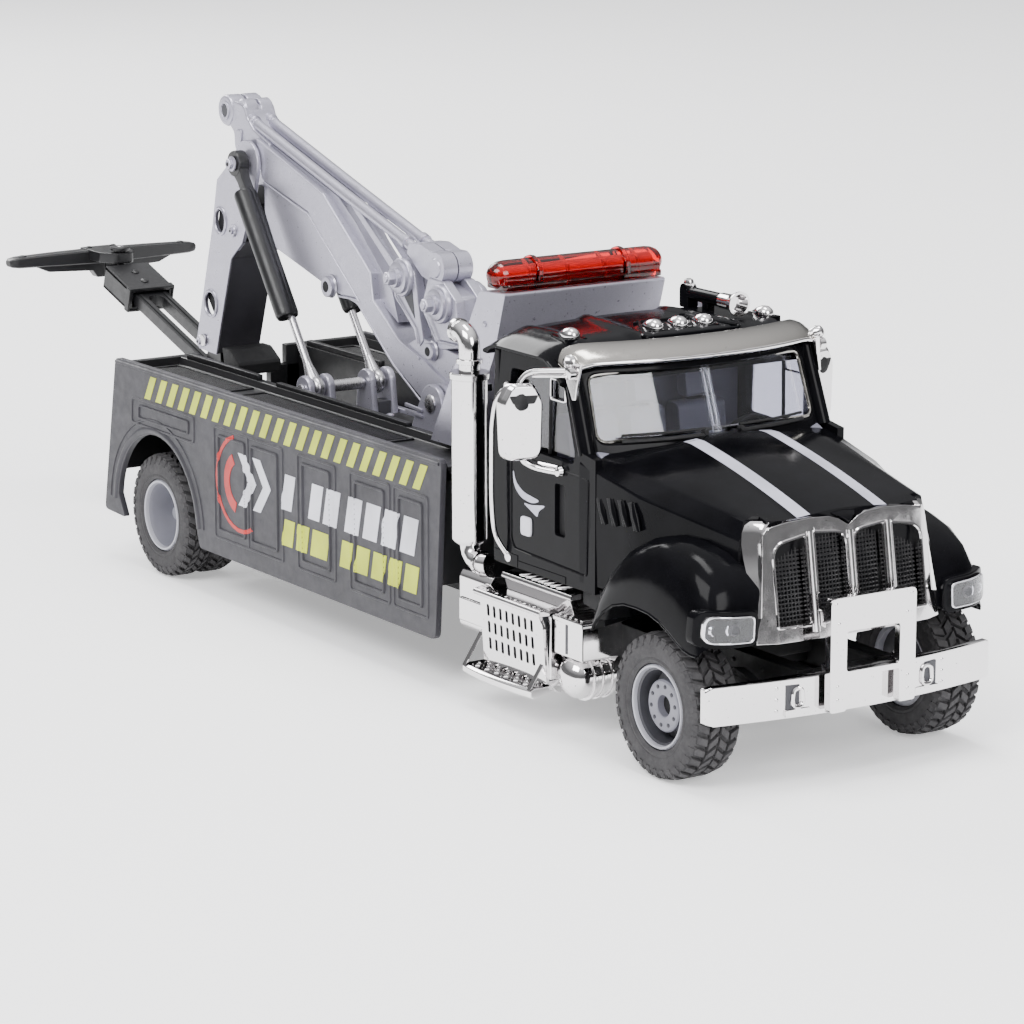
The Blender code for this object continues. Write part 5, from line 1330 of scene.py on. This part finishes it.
def build_boom():
    """The boom's casting, its edging, the tie rods, the winches and the head pin."""
    boom = Piece("boom_casting", "silver", "boom_assembly")
    upper = [(-52.3, 77.2), (-29, 69.9), (-12.9, 57.9), (-11.9, 53.3), (-4, 47.8), (3, 45.6), (12, 42.2)]
    foot = arc(BOOM_PIVOT, 3.3, 20, -110, 9)
    side_panel_line = [(-5.5, 43.1), (-12.4, 47.5), (-16.5, 52.4), (-34.2, 66), (-50.4, 70)]
    boom.slab_y(rounded(upper + foot + side_panel_line, 0.25, 2), -3.6, 3.6, 0.32)
    lower = [(-50.4, 76), (-28, 66), (-12, 50), (-6, 43.6), (-12.4, 47.6), (-18.4, 51.7), (-27.2, 53.2),
        (-46.2, 57.9), (-50.2, 64)]
    boom.slab_y(rounded(lower, 0.5, 2), -3.15, 3.15, 0.9)
    # the web under the tie rods, and the thin struts beside its slit
    web = [(-54.6, 77.6), (-50, 76.6), (-26, 69.6), (-20, 65.8), (-8, 55.2), (-6, 50), (-14, 54),
        (-30, 67), (-52, 73)]
    boom.slab_y(rounded(web, 0.3, 2), -2.3, 2.3, 0.25)
    for y in (-1.7, 1.7):
        strut = [(-24.4, 70.2), (-22.8, 70.4), (-3.6, 57.8), (-5.2, 56.6)]
        boom.slab_y(strut, y - 0.45, y + 0.45, 0.15)
    # the neck, and the split roller head in front of its yoke
    neck = [(-63.6, 79), (-61.2, 77.2), (-61, 74.4), (-58.2, 72.4), (-48.2, 73.6), (-48.4, 76.4), (-54, 78.4),
        (-56.4, 80.4), (-57.4, 82.4), (-61, 83)]
    boom.slab_y(rounded(neck, [0.5, 0.6, 0.6, 0.5, 0.4, 0.3, 0.5, 0.6, 0.8, 0.6], 4), -3.15, 3.15, 0.6)
    for side in (-1, 1):
        roller = (HOOK_ROLLER[0], 0, HOOK_ROLLER[1])
        boom.turned([(0.12, 2.3), (0.25, 2.75), (0.5, 2.85), (2.9, 2.85), (3.3, 2.6), (3.4, 2.2)],
            roller, (0, side, 0), 40)
        boom.turned([(0.12, 1.5), (0.25, 1.9), (0.5, 2), (2.6, 2), (2.9, 1.7)],
            (-58.9, 0, 81.4), (0, side, 0), 32)
        boom.ringed([(1.75, side * 3.3), (1.7, side * 3.62), (1.25, side * 3.62),
            (1.1, side * 3.3)], HOOK_ROLLER, 28)
        # painted shade: a dark disc fills the bore of each flange ring
        boom.turned([(0, 1.15), (0.06, 1.1)], (HOOK_ROLLER[0], side * 3.4, HOOK_ROLLER[1]), (0, side, 0),
            24, finish="rim_dark")
        fork = [(-61.4, 78.6), (-57.6, 78.4), (-56.6, 80.6), (-58.4, 82.6), (-61.2, 82.4)]
        boom.slab_y(rounded(fork, 0.6, 3), *span(side, 2.2, 3), 0.3)
        oval = rounded([(-60.2, 74.8), (-58.2, 74.8), (-57.8, 78), (-59.8, 78)], 1, 5)
        boom.slab_y(oval, *span(side, 3, 3.5), 0.3)
        # bosses along the plates; the dark disc in the middle of each is painted shade for its bore
        for x, z, r in ((-27, 53.7, 1.85), (6.5, 47.2, 1.5)):
            boom.turned([(0, r + 0.25), (0.25, r), (0.9, r), (1.05, r - 0.25)],
                (x, side * 3.3, z), (0, side, 0), 28)
            boom.turned([(0, r * 0.55), (0.1, r * 0.5)], (x, side * 4.32, z), (0, side, 0), 20, finish="matt")
        boom.turned([(0, 3.3), (0.2, 3.2), (0.7, 3.2), (0.9, 2.9)],
            (BOOM_PIVOT[0], side * 3.5, BOOM_PIVOT[1]), (0, side, 0), 32)
        # winch brackets: gabled ribs that run down to the boom's plates
        first = [(-5.9, 58.6), (-5.8, 54.8), (1.2, 49.6), (2.3, 47.2), (3.6, 48.6), (2.8, 51.6),
            (0.6, 60), (-3, 61.6)]
        second = [(2.7, 54.2), (7.7, 48.7), (8.5, 47.6), (14.9, 48.8), (13.6, 56.6), (9.6, 59.4), (5, 59.6)]
        for shape, y0, y1 in ((first, 1.5, 3.35), (second, 1.3, 3.2)):
            boom.slab_y(rounded(shape, 0.4, 2), *span(side, y0, y1), 0.25)
        # painted shade: a dark triangle on each bracket's face stands for the hollow inside it
        boom.slab_y([(-3.6, 56.6), (1, 52), (0.2, 57)], side * 3.3, side * 3.42, 0, finish="rim_dark")
    boom.slab_y(rounded([(-5, 52), (13.4, 47), (13, 57), (0, 60.4), (-5, 59)], 0.5, 2), -1.4, 1.4, 0.3)
    boom.slab_y(rounded([(-3, 46.6), (4, 44.4), (12.6, 42), (14.6, 47.6), (2, 49)], 0.4, 2), -3.1, 3.1, 0.35)
    boom.done("silver_paint", "boom")
    for name, side in SIDES.items():
        edging = Piece(f"boom_edging_{name}", "silver", "boom_assembly", side)
        lines = [
            ([(-51.9, 76.9), (-29.1, 69.6), (-13.2, 57.8), (-12.2, 53.1), (-4.1, 47.5), (2.9, 45.3)], 0.42),
            ([(-49.6, 69.4), (-34.1, 65.4), (-17.1, 52.6), (-24, 52.4)], 0.38),
            ([(-16.1, 51), (-5.6, 43), (6, 36.6)], 0.4),
            ([(-4.6, 57.6), (-4.6, 55), (1.4, 50.2), (2.3, 47.8)], 0.35),
            ([(4, 54.2), (8.2, 49.2), (14.2, 49.3)], 0.35),
        ]
        for points, width in lines:
            edging.ridge(points, width, 0.16, -3.62, closed=False)
        edging.done("silver_paint")

    rods = Piece("boom_tie_rods", "silver", "boom_assembly")
    for y in (-1.75, 1.75):
        rods.tube([(-56.4, y, 79.6), (-55, y, 79.2), (-28, y, 71.2), (-2.6, y, 63.8), (1.6, y, 62.9)], 1, 16)
        rods.turned([(0, 0.9), (0.2, 1.3), (1.9, 1.35), (2.1, 1), (2.8, 1.15), (3, 0.9)],
            (-57.6, y, 79.9), ROD_DIRECTION, 18)
        rods.turned([(0, 0.95), (0.2, 1.25), (1.5, 1.25), (1.7, 0.95)], (-5, y, 64.5), ROD_DIRECTION, 18)
    yoke = [(-2.2, 62.4), (-1.6, 64.5), (2, 64.8), (5.6, 63.9)]
    yoke += arc((6.9, 61.3), 2.7, 75, -105, 12) + [(2.6, 59.4)]
    for y0, y1 in ((-2.95, -0.12), (0.12, 2.95)):
        rods.slab_y(rounded(yoke[:4], 0.5, 3)[:-1] + yoke[4:], y0, y1, 0.4)
    for side in (-1, 1):
        rods.turned([(0, 1.7), (0.25, 1.5)], (6.9, side * 2.9, 61.3), (0, side, 0), 28)
    rods.done("silver_paint", "tie_rods")

    for name, (x, z) in DRUMS.items():
        drum = Piece(f"winch_{name}", "silver", "boom_assembly")
        half = [(0, 1.15), (2.2, 1.15), (2.3, 2.2), (2.9, 2.3), (3, 3.1), (3.25, 3.3), (3.9, 3.3),
            (4.1, 3.15), (4.15, 2.75), (4.7, 2.7), (4.8, 2.45), (4.85, 1.7), (5.6, 1.65), (5.7, 1.3)]
        profile = [(-a, r) for a, r in reversed(half[1:])] + half
        drum.turned(profile, (x, 0, z), (0, 1, 0), 40)
        for side in (-1, 1):
            hexagon(drum, x, side * 5.6, z, 1.25, 1.3, side, socket=False)
            drum.turned([(0, 0.7), (0.25, 0.6)], (x, side * 6.85, z), (0, side, 0), 16)
        drum.done("silver_paint", f"winch_drum_{name}")

    pin = Piece("head_pin_bolt", "steel", "boom_assembly")
    pin.turned([(0, 0.8), (15, 0.8)], (HEAD_PIN[0], -7.5, HEAD_PIN[1]), (0, 1, 0), 20)
    for side in (-1, 1):
        pin.turned([(0, 1.35), (0.3, 1.35), (0.45, 1.15)], (HEAD_PIN[0], side * 7.35, HEAD_PIN[1]),
            (0, side, 0), 28, finish="silver")
        hexagon(pin, HEAD_PIN[0], side * 7.7, HEAD_PIN[1], 1, 0.7, side, "silver")
    pin.done("steel", "boom_head_pin")


def build_cylinders():
    head, shaft = Vector((HEAD_PIN[0], 0, HEAD_PIN[1])), Vector((LIFT_SHAFT[0], 0, LIFT_SHAFT[1]))
    down = (shaft - head).normalized()
    across = Vector((-down.z, 0, down.x))
    length = (shaft - head).length
    for name, side in SIDES.items():
        start = head + Vector((0, -6.2, 0))
        barrel = Piece(f"lift_cylinder_{name}", "plastic", "lift_barrels", side)
        barrel.ringed([(2.25, -7.15), (2.35, -6.9), (2.35, -5.4), (2.25, -5.15), (1, -5.15),
            (1, -7.15)], HEAD_PIN, 36)
        neck = [[start + down * a + across * b + Vector((0, y, 0))
            for b, y in ((-w, -0.9), (w, -0.9), (w, 0.9), (-w, 0.9))]
            for a, w in ((1.6, 1.5), (3.4, 1.05), (6.4, 1.15))]
        barrel.loft(neck, 0.25)
        # two lobes side by side
        for y, r in ((-7.25, 1.75), (-5.95, 1.3)):
            profile = [(5.6, r - 0.6), (5.8, r - 0.2), (6.3, r), (30.6, r), (31.2, r - 0.2), (31.4, r - 0.6)]
            barrel.turned(profile, (HEAD_PIN[0], y, HEAD_PIN[1]), down, 32)
        barrel.done("black_plastic", f"lift_barrel_{name}")

        rod = Piece(f"lift_piston_{name}", "steel", "lift_rods", side)
        rod.turned([(13, 0.7), (length - 5.4, 0.7), (length - 4.6, 0.78), (length - 2.6, 1.15),
            (length - 1.4, 1.3)], start, down, 24)
        rod.ringed([(1.75, -7.1), (2.05, -6.7), (2.15, -6.2), (2.05, -5.7), (1.75, -5.3), (1.12, -5.3),
            (1.12, -7.1)], LIFT_SHAFT, 32)
        rod.done("steel", f"lift_rod_{name}")


def build_boom_base():
    base = Piece("boom_base_casting", "silver")
    # painted shade: the cover between the base's walls is matt black, standing for the dark hollow there
    base.box(-34, 20, -10.7, 10.7, 29.5, 30.3, 0.15, finish="matt")
    for side in (-1, 1):
        y0, y1 = span(side, 9.2, 10.9)
        base.slab_x([(y0, 18.8), (y1, 18.8), (y1, 30.4), (y1 - side * 0.4 if side > 0 else y1, 31),
            (y0, 31)], -34, 20, 0.2)
        x, z = LIFT_SHAFT
        for y0, y1 in ((3.5, 4.9), (7.6, 9)):
            lug = [(x - 2.9, 30), (x - 2.4, 34.6)] + arc((x, z), 2.4, 165, 15, 12)
            lug += [(x + 2.6, 34.2), (x + 3.2, 30)]
            base.slab_y(lug, *span(side, y0, y1), 0.4)
        # painted shade: a dark block fills the gap between each pair of lugs
        base.slab_y([(x - 2.4, 30.2), (x + 2.6, 30.2), (x + 2.6, 32.6), (x - 2.4, 32.2)], *span(side, 4.5, 8),
            0.2, finish="rim_dark")
        for px in (x - 4.2, x + 4.6):
            base.turned([(0, 0.8), (0.3, 0.75), (0.5, 0.4)], (px, side * 6.2, 30.2), (0, 0, 1), 14)
        bx, bz = BOOM_PIVOT
        cheek = [(bx - 8, 30), (bx - 6.4, 34)] + arc((bx, bz), 3.3, 165, 10, 12)
        cheek += [(bx + 5.4, 33), (bx + 7, 30)]
        base.slab_y(cheek, *span(side, 4.75, 5.9), 0.3)
        for k in range(2):
            base.slab_y([(2.2 + k * 0.2, 37.4 - k), (7.6, 37.2 - k), (7.6, 37.7 - k),
                (2.2 + k * 0.2, 38 - k)], *span(side, 5.8, 6.3), 0.1)
    base.done("silver_paint", "boom_base")
    cross = Piece("lift_cross_shaft", "steel")
    profile = [(-9.7, 0.5), (-9.5, 0.95), (-9.1, 1), (-9, 0.72), (-5, 0.72), (-4.4, 0.72), (-3.3, 0.72),
        (-3.2, 1.05), (3.2, 1.05), (3.3, 0.72), (9, 0.72), (9.1, 1), (9.5, 0.95), (9.7, 0.5)]
    cross.turned(profile, (LIFT_SHAFT[0], 0, LIFT_SHAFT[1]), (0, 1, 0), 28)
    cross.done("steel", "lift_shaft")
    hinge = Piece("boom_hinge_pin", "steel")
    hinge.turned([(-6.3, 0.6), (-6.2, 1.5), (-5.95, 1.6), (-5.9, 1), (5.9, 1), (5.95, 1.6), (6.2, 1.5),
        (6.3, 0.6)], (BOOM_PIVOT[0], 0, BOOM_PIVOT[1]), (0, 1, 0), 24)
    hinge.done("steel", "boom_pivot_pin")


def build_mast():
    mast = Piece("mast_channel", "silver", "mast_assembly")
    outline = arc(HEAD_PIN, 4.1, -20, 128, 14)
    outline += [(-60.8, 71.6), (-65.3, 68.3), (-67.2, 59.9), (-74, 37.2), (-73, 35.9), (-66.6, 35.7),
        (-60.4, 54.3), (-56.3, 57.6), (-52, 66)]
    holes = []
    for x, z, wide in ((-64.1, 60.8, 2.05), (-68.2, 45, 2.3)):
        holes.append([(x + (px - x) * wide, z + (pz - z) * 2.4) for px, pz in circle((x, z), 1, 28)])
    for side in (-1, 1):
        mast.plate(outline, holes, lambda u, v, w, s=side: (u, s * (3.75 + w), v), 0.8, 0.16)
        for hole in holes:
            ring = [(x, side * 4.56, z) for x, z in hole]
            mast.tube(ring + ring[:2], 0.32, 8)
        for x, z, r in ((-59.2, 59.6, 0.95), (-72.2, 37.4, 1)):
            mast.turned([(0, r + 0.25), (0.25, r + 0.2), (0.5, r)], (x, side * 4.5, z), (0, side, 0), 24)
            hexagon(mast, x, side * 4.95, z, r * 0.7, 0.4, side)
    # painted shade: a matt black slab fills the channel between the plates, seen through the holes and at the
    # front
    inside = [(-61.5, 66.6), (-64.6, 66.8), (-66.4, 59.9), (-70.6, 45.6), (-68.4, 43), (-67.2, 36.2),
        (-66.9, 36), (-60.9, 54), (-57.2, 57.4), (-57, 64.4)]
    mast.slab_y(inside, -3.8, 3.8, 0.1, finish="matt")
    # painted shade: a charcoal strip along the channel's front edge stands for its shaded front face
    edge = [(-56.2, 57.9), (-60.3, 54.4), (-66.5, 35.9)]
    mast.loft([[(x - 0.5, -4.3, z), (x + 0.14, -4.3, z), (x + 0.14, 4.3, z), (x - 0.5, 4.3, z)]
        for x, z in edge], 0.05, finish="charcoal")
    foot = rounded([(-64.8, 37.4), (-63.6, 33.3), (-58.2, 32.9), (-58, 35.2), (-61.6, 37.4)], 0.4, 2)
    mast.slab_y(foot, -4.4, 4.4, 0.3, finish="matt")
    mast.done("silver_paint", "mast")
    pin = Piece("stinger_hinge_bolt", "steel", "mast_assembly")
    pin.turned([(-5.1, 0.7), (-5, 1.1), (-4.7, 1.15), (-4.6, 0.8), (4.6, 0.8), (4.7, 1.15), (5, 1.1),
        (5.1, 0.7)], (STINGER_PIN[0], 0, STINGER_PIN[1]), (0, 1, 0), 20)
    pin.done("steel", "stinger_pin")


# ---------------------------------------------------------------- wheel lift, chassis and axles
STINGER_START = (-70, 31.2)
STINGER_SLOPE = math.radians(18)


def arm_point(along, up):
    """A point of the XZ plane, measured along the lift arm's centre line and square to it."""
    c, s = math.cos(STINGER_SLOPE), math.sin(STINGER_SLOPE)
    return (STINGER_START[0] - along * c + up * s, STINGER_START[1] + along * s + up * c)


def arm_bar(piece, section, a0, a1, bevel):
    """A bar along the arm; section is (y, up)."""
    place = [[(arm_point(a, up)[0], y, arm_point(a, up)[1]) for y, up in section] for a in (a0, a1)]
    piece.loft(place, bevel)


def build_wheel_lift():
    arm = Piece("lift_arm_rails", "plastic", "wheel_lift_arm")

    def place(u, v, w):
        x, z = arm_point(u, w - 1.15)
        return (x, v, z)

    plan = rounded([(0.4, -3.4), (36.8, -3.4), (36.8, 3.4), (0.4, 3.4)], [0.6, 0.4, 0.4, 0.6], 3)
    slot = [(6.4, -1.6), (29.4, -1.6)] + arc((29.4, 0), 1.6, -75, 75, 8) + [(29.4, 1.6), (6.4, 1.6)]
    arm.plate(plan, [slot], place, 2.3, 0.22)
    for y in (-2.5, 2.5):
        arm_bar(arm, [(y - 0.35, 1.1), (y + 0.35, 1.1), (y + 0.25, 1.35), (y - 0.25, 1.35)], 3, 31.5, 0)
    px, pz = STINGER_PIN
    knuckle = arc(STINGER_PIN, 2.1, 165, 5, 10) + [(px + 2.4, 33.8), (px + 4.2, 33.2), (px + 4.2, 30.4),
        (px + 1, 29.6), (px - 3.4, 31), (px - 3.2, 34.2)]
    arm.slab_y(knuckle, -2.4, 2.4, 0.3)
    for y in (-3.45, 3.45):
        for a in (2.6, 34.5):
            x, z = arm_point(a, 0)
            arm.turned([(0, 0.7), (0.15, 0.65), (0.25, 0.4)], (x, y * 0.99, z),
                (0, 1 if y > 0 else -1, 0), 14)
    arm.done("black_plastic", "stinger_arm")

    sleeve = Piece("lift_arm_sleeve", "plastic", "wheel_lift_sleeve")
    for y0, y1, u0, u1 in ((-4.6, 4.6, 1.45, 2.25), (-4.6, 4.6, -2.25, -1.45), (-4.6, -3.8, -2.2, 2.2),
            (3.8, 4.6, -2.2, 2.2)):
        arm_bar(sleeve, rect(y0, y1, u0, u1), 31.9, 42.6, 0.2)
    for u0, u1 in ((1.9, 2.45), (-2.45, -1.9)):
        arm_bar(sleeve, rect(-4.8, 4.8, u0, u1), 31.7, 33.2, 0.15)
    for y in (-4.6, 4.6):
        arm_bar(sleeve, rect(y - 0.2, y + 0.2, -2.2, 2.2), 31.7, 33.2, 0.1)
    for a in (35, 39):
        x, z = arm_point(a, 2.2)
        sleeve.turned([(0, 0.8), (0.2, 0.75), (0.35, 0.5)], (x, 0, z),
            (math.sin(STINGER_SLOPE), 0, math.cos(STINGER_SLOPE)), 16)
    sleeve.turned([(42.4, 2), (42.7, 2.6), (45.4, 2.6), (45.8, 2.3)], (SWIVEL_X, 0, 0), (0, 0, 1), 32)
    sleeve.box(SWIVEL_X, SWIVEL_X + 2.9, -2.5, 2.5, 42.7, 46, 0.3)
    sleeve.done("black_plastic", "stinger_sleeve")
    pin = Piece("swivel_bolt", "plastic", "wheel_lift_sleeve")
    pin.turned([(0, 0.9), (5.95, 0.9), (6, 1.9), (6.45, 2), (6.65, 1.85), (6.75, 1.2)],
        (SWIVEL_X, 0, 42.9), (0, 0, 1), 32)
    pin.turned([(0, 0.75), (0.1, 0.7)], (SWIVEL_X, 0, 49.62), (0, 0, 1), 18, finish="steel")
    pin.done("steel", "swivel_pin")

    bar = Piece("lift_crossbar", "plastic", "wheel_lift_crossbar")
    plan = rounded([(SWIVEL_X + 1.9, -1.8), (SWIVEL_X + 1.9, 1.8), (SWIVEL_X - 1.6, 3.7), (-122.4, 3.7),
        (-122.4, -3.7), (SWIVEL_X - 1.6, -3.7)], [0.9, 0.9, 0.6, 0.4, 0.4, 0.6], 4)
    hole = circle((SWIVEL_X, 0), 1.1, 20)
    bar.plate(plan, [hole], lambda u, v, w: (u, v, 46.5 + w), 2, 0.22)
    for side in (-1, 1):
        rings = []
        for y, back, front, low, high in ((1, -122, -118.2, 45.6, 48.3), (10, -121.9, -118.3, 45.8, 48.2),
                (18.4, -121.7, -118.5, 46, 48), (19.9, -121.4, -118.8, 46.2, 47.8),
                (20.3, -121, -119.2, 46.5, 47.5)):
            section = [(back, low + 0.25), (back + 0.3, low), (front - 0.3, low), (front, low + 0.25)]
            section += [(front, high - 0.25), (front - 0.3, high), (back + 0.3, high), (back, high - 0.25)]
            rings.append([(x, side * y, z) for x, z in section])
        bar.loft(rings)
        gusset = [(side * 15.6, 46.3), (side * 12, 44.7), (side * 2.6, 44.2), (side * 1.6, 42.8),
            (0, 42.8), (0, 46.6)]
        bar.slab_x(gusset, -121.3, -118.9, 0.2)
        bar.slab_z([(-118.6, side * 3.4), (-118.4, side * 7.4), (-119.4, side * 7.6),
            (-120, side * 3.4)], 46.5, 48.2, 0.2)
        bar.turned([(0, 0.85), (0.2, 0.8), (0.3, 0.5)], (-120.1, side * 17.2, 47.98), (0, 0, 1), 16)
        bar.turned([(0, 0.7), (0.25, 0.65), (0.4, 0.4)], (-120.6, side * 2.6, 48.4), (0, 0, 1), 14)
    bar.done("black_plastic", "crossbar")


def build_chassis():
    frame_rails = Piece("chassis_rails", "matt")
    for side in (-1, 1):
        y = side * 8.6
        for y0, y1, z0, z1 in ((y - 0.45, y + 0.45, 10, 16.6), (y, y - side * 2.6, 15.9, 16.6),
                (y, y - side * 2.6, 10, 10.7)):
            frame_rails.box(-64, 116, min(y0, y1), max(y0, y1), z0, z1, 0.12)
        for k in range(24):
            x = -58 + 7.2 * k
            for z in (11.6, 15):
                frame_rails.turned([(0, 0.4), (0.2, 0.38), (0.35, 0.2)],
                    (x, y + side * 0.42, z), (0, side, 0), 8)
        for axle in (FRONT_AXLE_X, REAR_AXLE_X):
            # leaf springs
            spring = [(axle - 9, 11.4), (axle - 5, 12.8), (axle, 13.4), (axle + 5, 12.8), (axle + 9, 11.4)]
            for k in range(3):
                reach = 1 - 0.24 * k
                leaf = [(axle + (x - axle) * reach, z + 0.55 * k) for x, z in spring]
                rings = [[(x, side * y, z + up) for y, up in rect(10.4, 12, 0, 0.45)] for x, z in leaf]
                frame_rails.loft(rings)
    for x in (-54, -30, -4, 22, 48, 72, 94):
        frame_rails.box(x, x + 2, -8.6, 8.6, 11.4, 15.6, 0.2)
    # gearbox, drive shaft and rear axle casing seen from below
    frame_rails.turned([(0, 2.4), (1, 3.4), (12, 3.6), (16, 2.6), (20, 1.8)], (70, 0, 12.4), (-1, 0, 0), 24)
    frame_rails.tube([(52, 0, 12.2), (10, 0, 11.8), (-44, 0, 11.2)], 0.9, 14)
    frame_rails.box(74, 100, -6.4, 6.4, 13.8, 22, 0.8)
    frame_rails.done("black_plastic", "chassis_frame")


# ---------------------------------------------------------------- what the CAD already gives
CARRIED = {
    "black_paint": "black", "charcoal_plastic": "charcoal", "black_plastic": "plastic",
    "silver_paint": "silver", "chrome_trim": "chrome", "steel": "steel", "tyre_rubber": "tyre",
    "rim_grey": "rim", "clear_lens": "glazing", "red_lens": "red", "grey_plastic": "grey",
}


def dress_cad_nodes():
    """CAD nodes that stay visible get the finish of their slot."""
    slots = {entry["node"]: entry["material_slot"] for entry in frame["record"]["subparts"]}
    for name, obj in NODES.items():
        finish = MATERIALS[CARRIED[slots[name]]]
        if not obj.material_slots:
            obj.data.materials.append(finish)
        for slot in obj.material_slots:
            slot.material = finish


# ---------------------------------------------------------------- studio
LIGHTS = [  # name, place and target in metres, size, watts
    ("Key", (0.30, -0.75, 0.80), (0, 0, 0.02), (0.7, 0.5), 13),
    ("Front", (1, 0.05, 0.5), (0.05, 0, 0.04), (0.5, 0.5), 8),
    ("Rear", (-0.95, 0.05, 0.6), (0, 0, 0.04), (0.5, 0.5), 9),
    ("Top", (0, 0, 0.95), (0, 0, 0), (0.5, 0.25), 6),
]


def build_camera():
    data = bpy.data.cameras.new("Camera")
    camera = bpy.data.objects.new("Camera", data)
    bpy.context.scene.collection.objects.link(camera)
    camera.location = (0.561475, -0.350617, 0.164556)
    camera.rotation_euler = (math.radians(77.5), 0, math.radians(56.79))
    data.lens = 138.726
    data.sensor_width = 36
    data.clip_start = 0.02
    data.clip_end = 20
    bpy.context.scene.camera = camera


def soft_light(name, place, target, size, watts):
    data = bpy.data.lights.new(name, "AREA")
    data.shape = "RECTANGLE"
    data.size, data.size_y = size
    data.energy = watts
    light = bpy.data.objects.new(name, data)
    bpy.context.scene.collection.objects.link(light)
    light.location = place
    light.rotation_euler = (Vector(target) - Vector(place)).to_track_quat("-Z", "Y").to_euler()


def build_studio():
    world = bpy.data.worlds.new("Studio")
    bpy.context.scene.world = world
    world.use_nodes = True
    tree = world.node_tree
    background = tree.nodes["Background"]
    background.inputs["Color"].default_value = (0.96, 0.96, 0.98, 1)
    # brighter overhead than at the sides
    direction = tree.nodes.new("ShaderNodeTexCoord")
    parts = tree.nodes.new("ShaderNodeSeparateXYZ")
    tree.links.new(direction.outputs["Generated"], parts.inputs["Vector"])
    tree.links.new(map_range(tree, parts.outputs["Z"], 0.25, 0.9, 0.2, 1.4), background.inputs["Strength"])
    bm = bmesh.new()
    bmesh.ops.create_grid(bm, x_segments=8, y_segments=8, size=4)
    data = bpy.data.meshes.new("Floor")
    bm.to_mesh(data)
    bm.free()
    data.materials.append(MATERIALS["floor"])
    floor = bpy.data.objects.new("Floor", data)
    bpy.context.scene.collection.objects.link(floor)
    for light in LIGHTS:
        soft_light(*light)


def main():
    build_camera()
    build_studio()
    dress_cad_nodes()
    build_wheels()
    for name, side in SIDES.items():
        side_panel(name, side)
    build_deck()
    build_light_bar()
    build_grille()
    build_bumper()
    build_headlamps()
    build_cab_body()
    build_roof_items()
    for name, side in SIDES.items():
        build_exhaust(name, side)
        build_mirror(name, side)
        build_step(name, side)
    build_boom()
    build_cylinders()
    build_boom_base()
    build_mast()
    build_wheel_lift()
    build_chassis()


main()
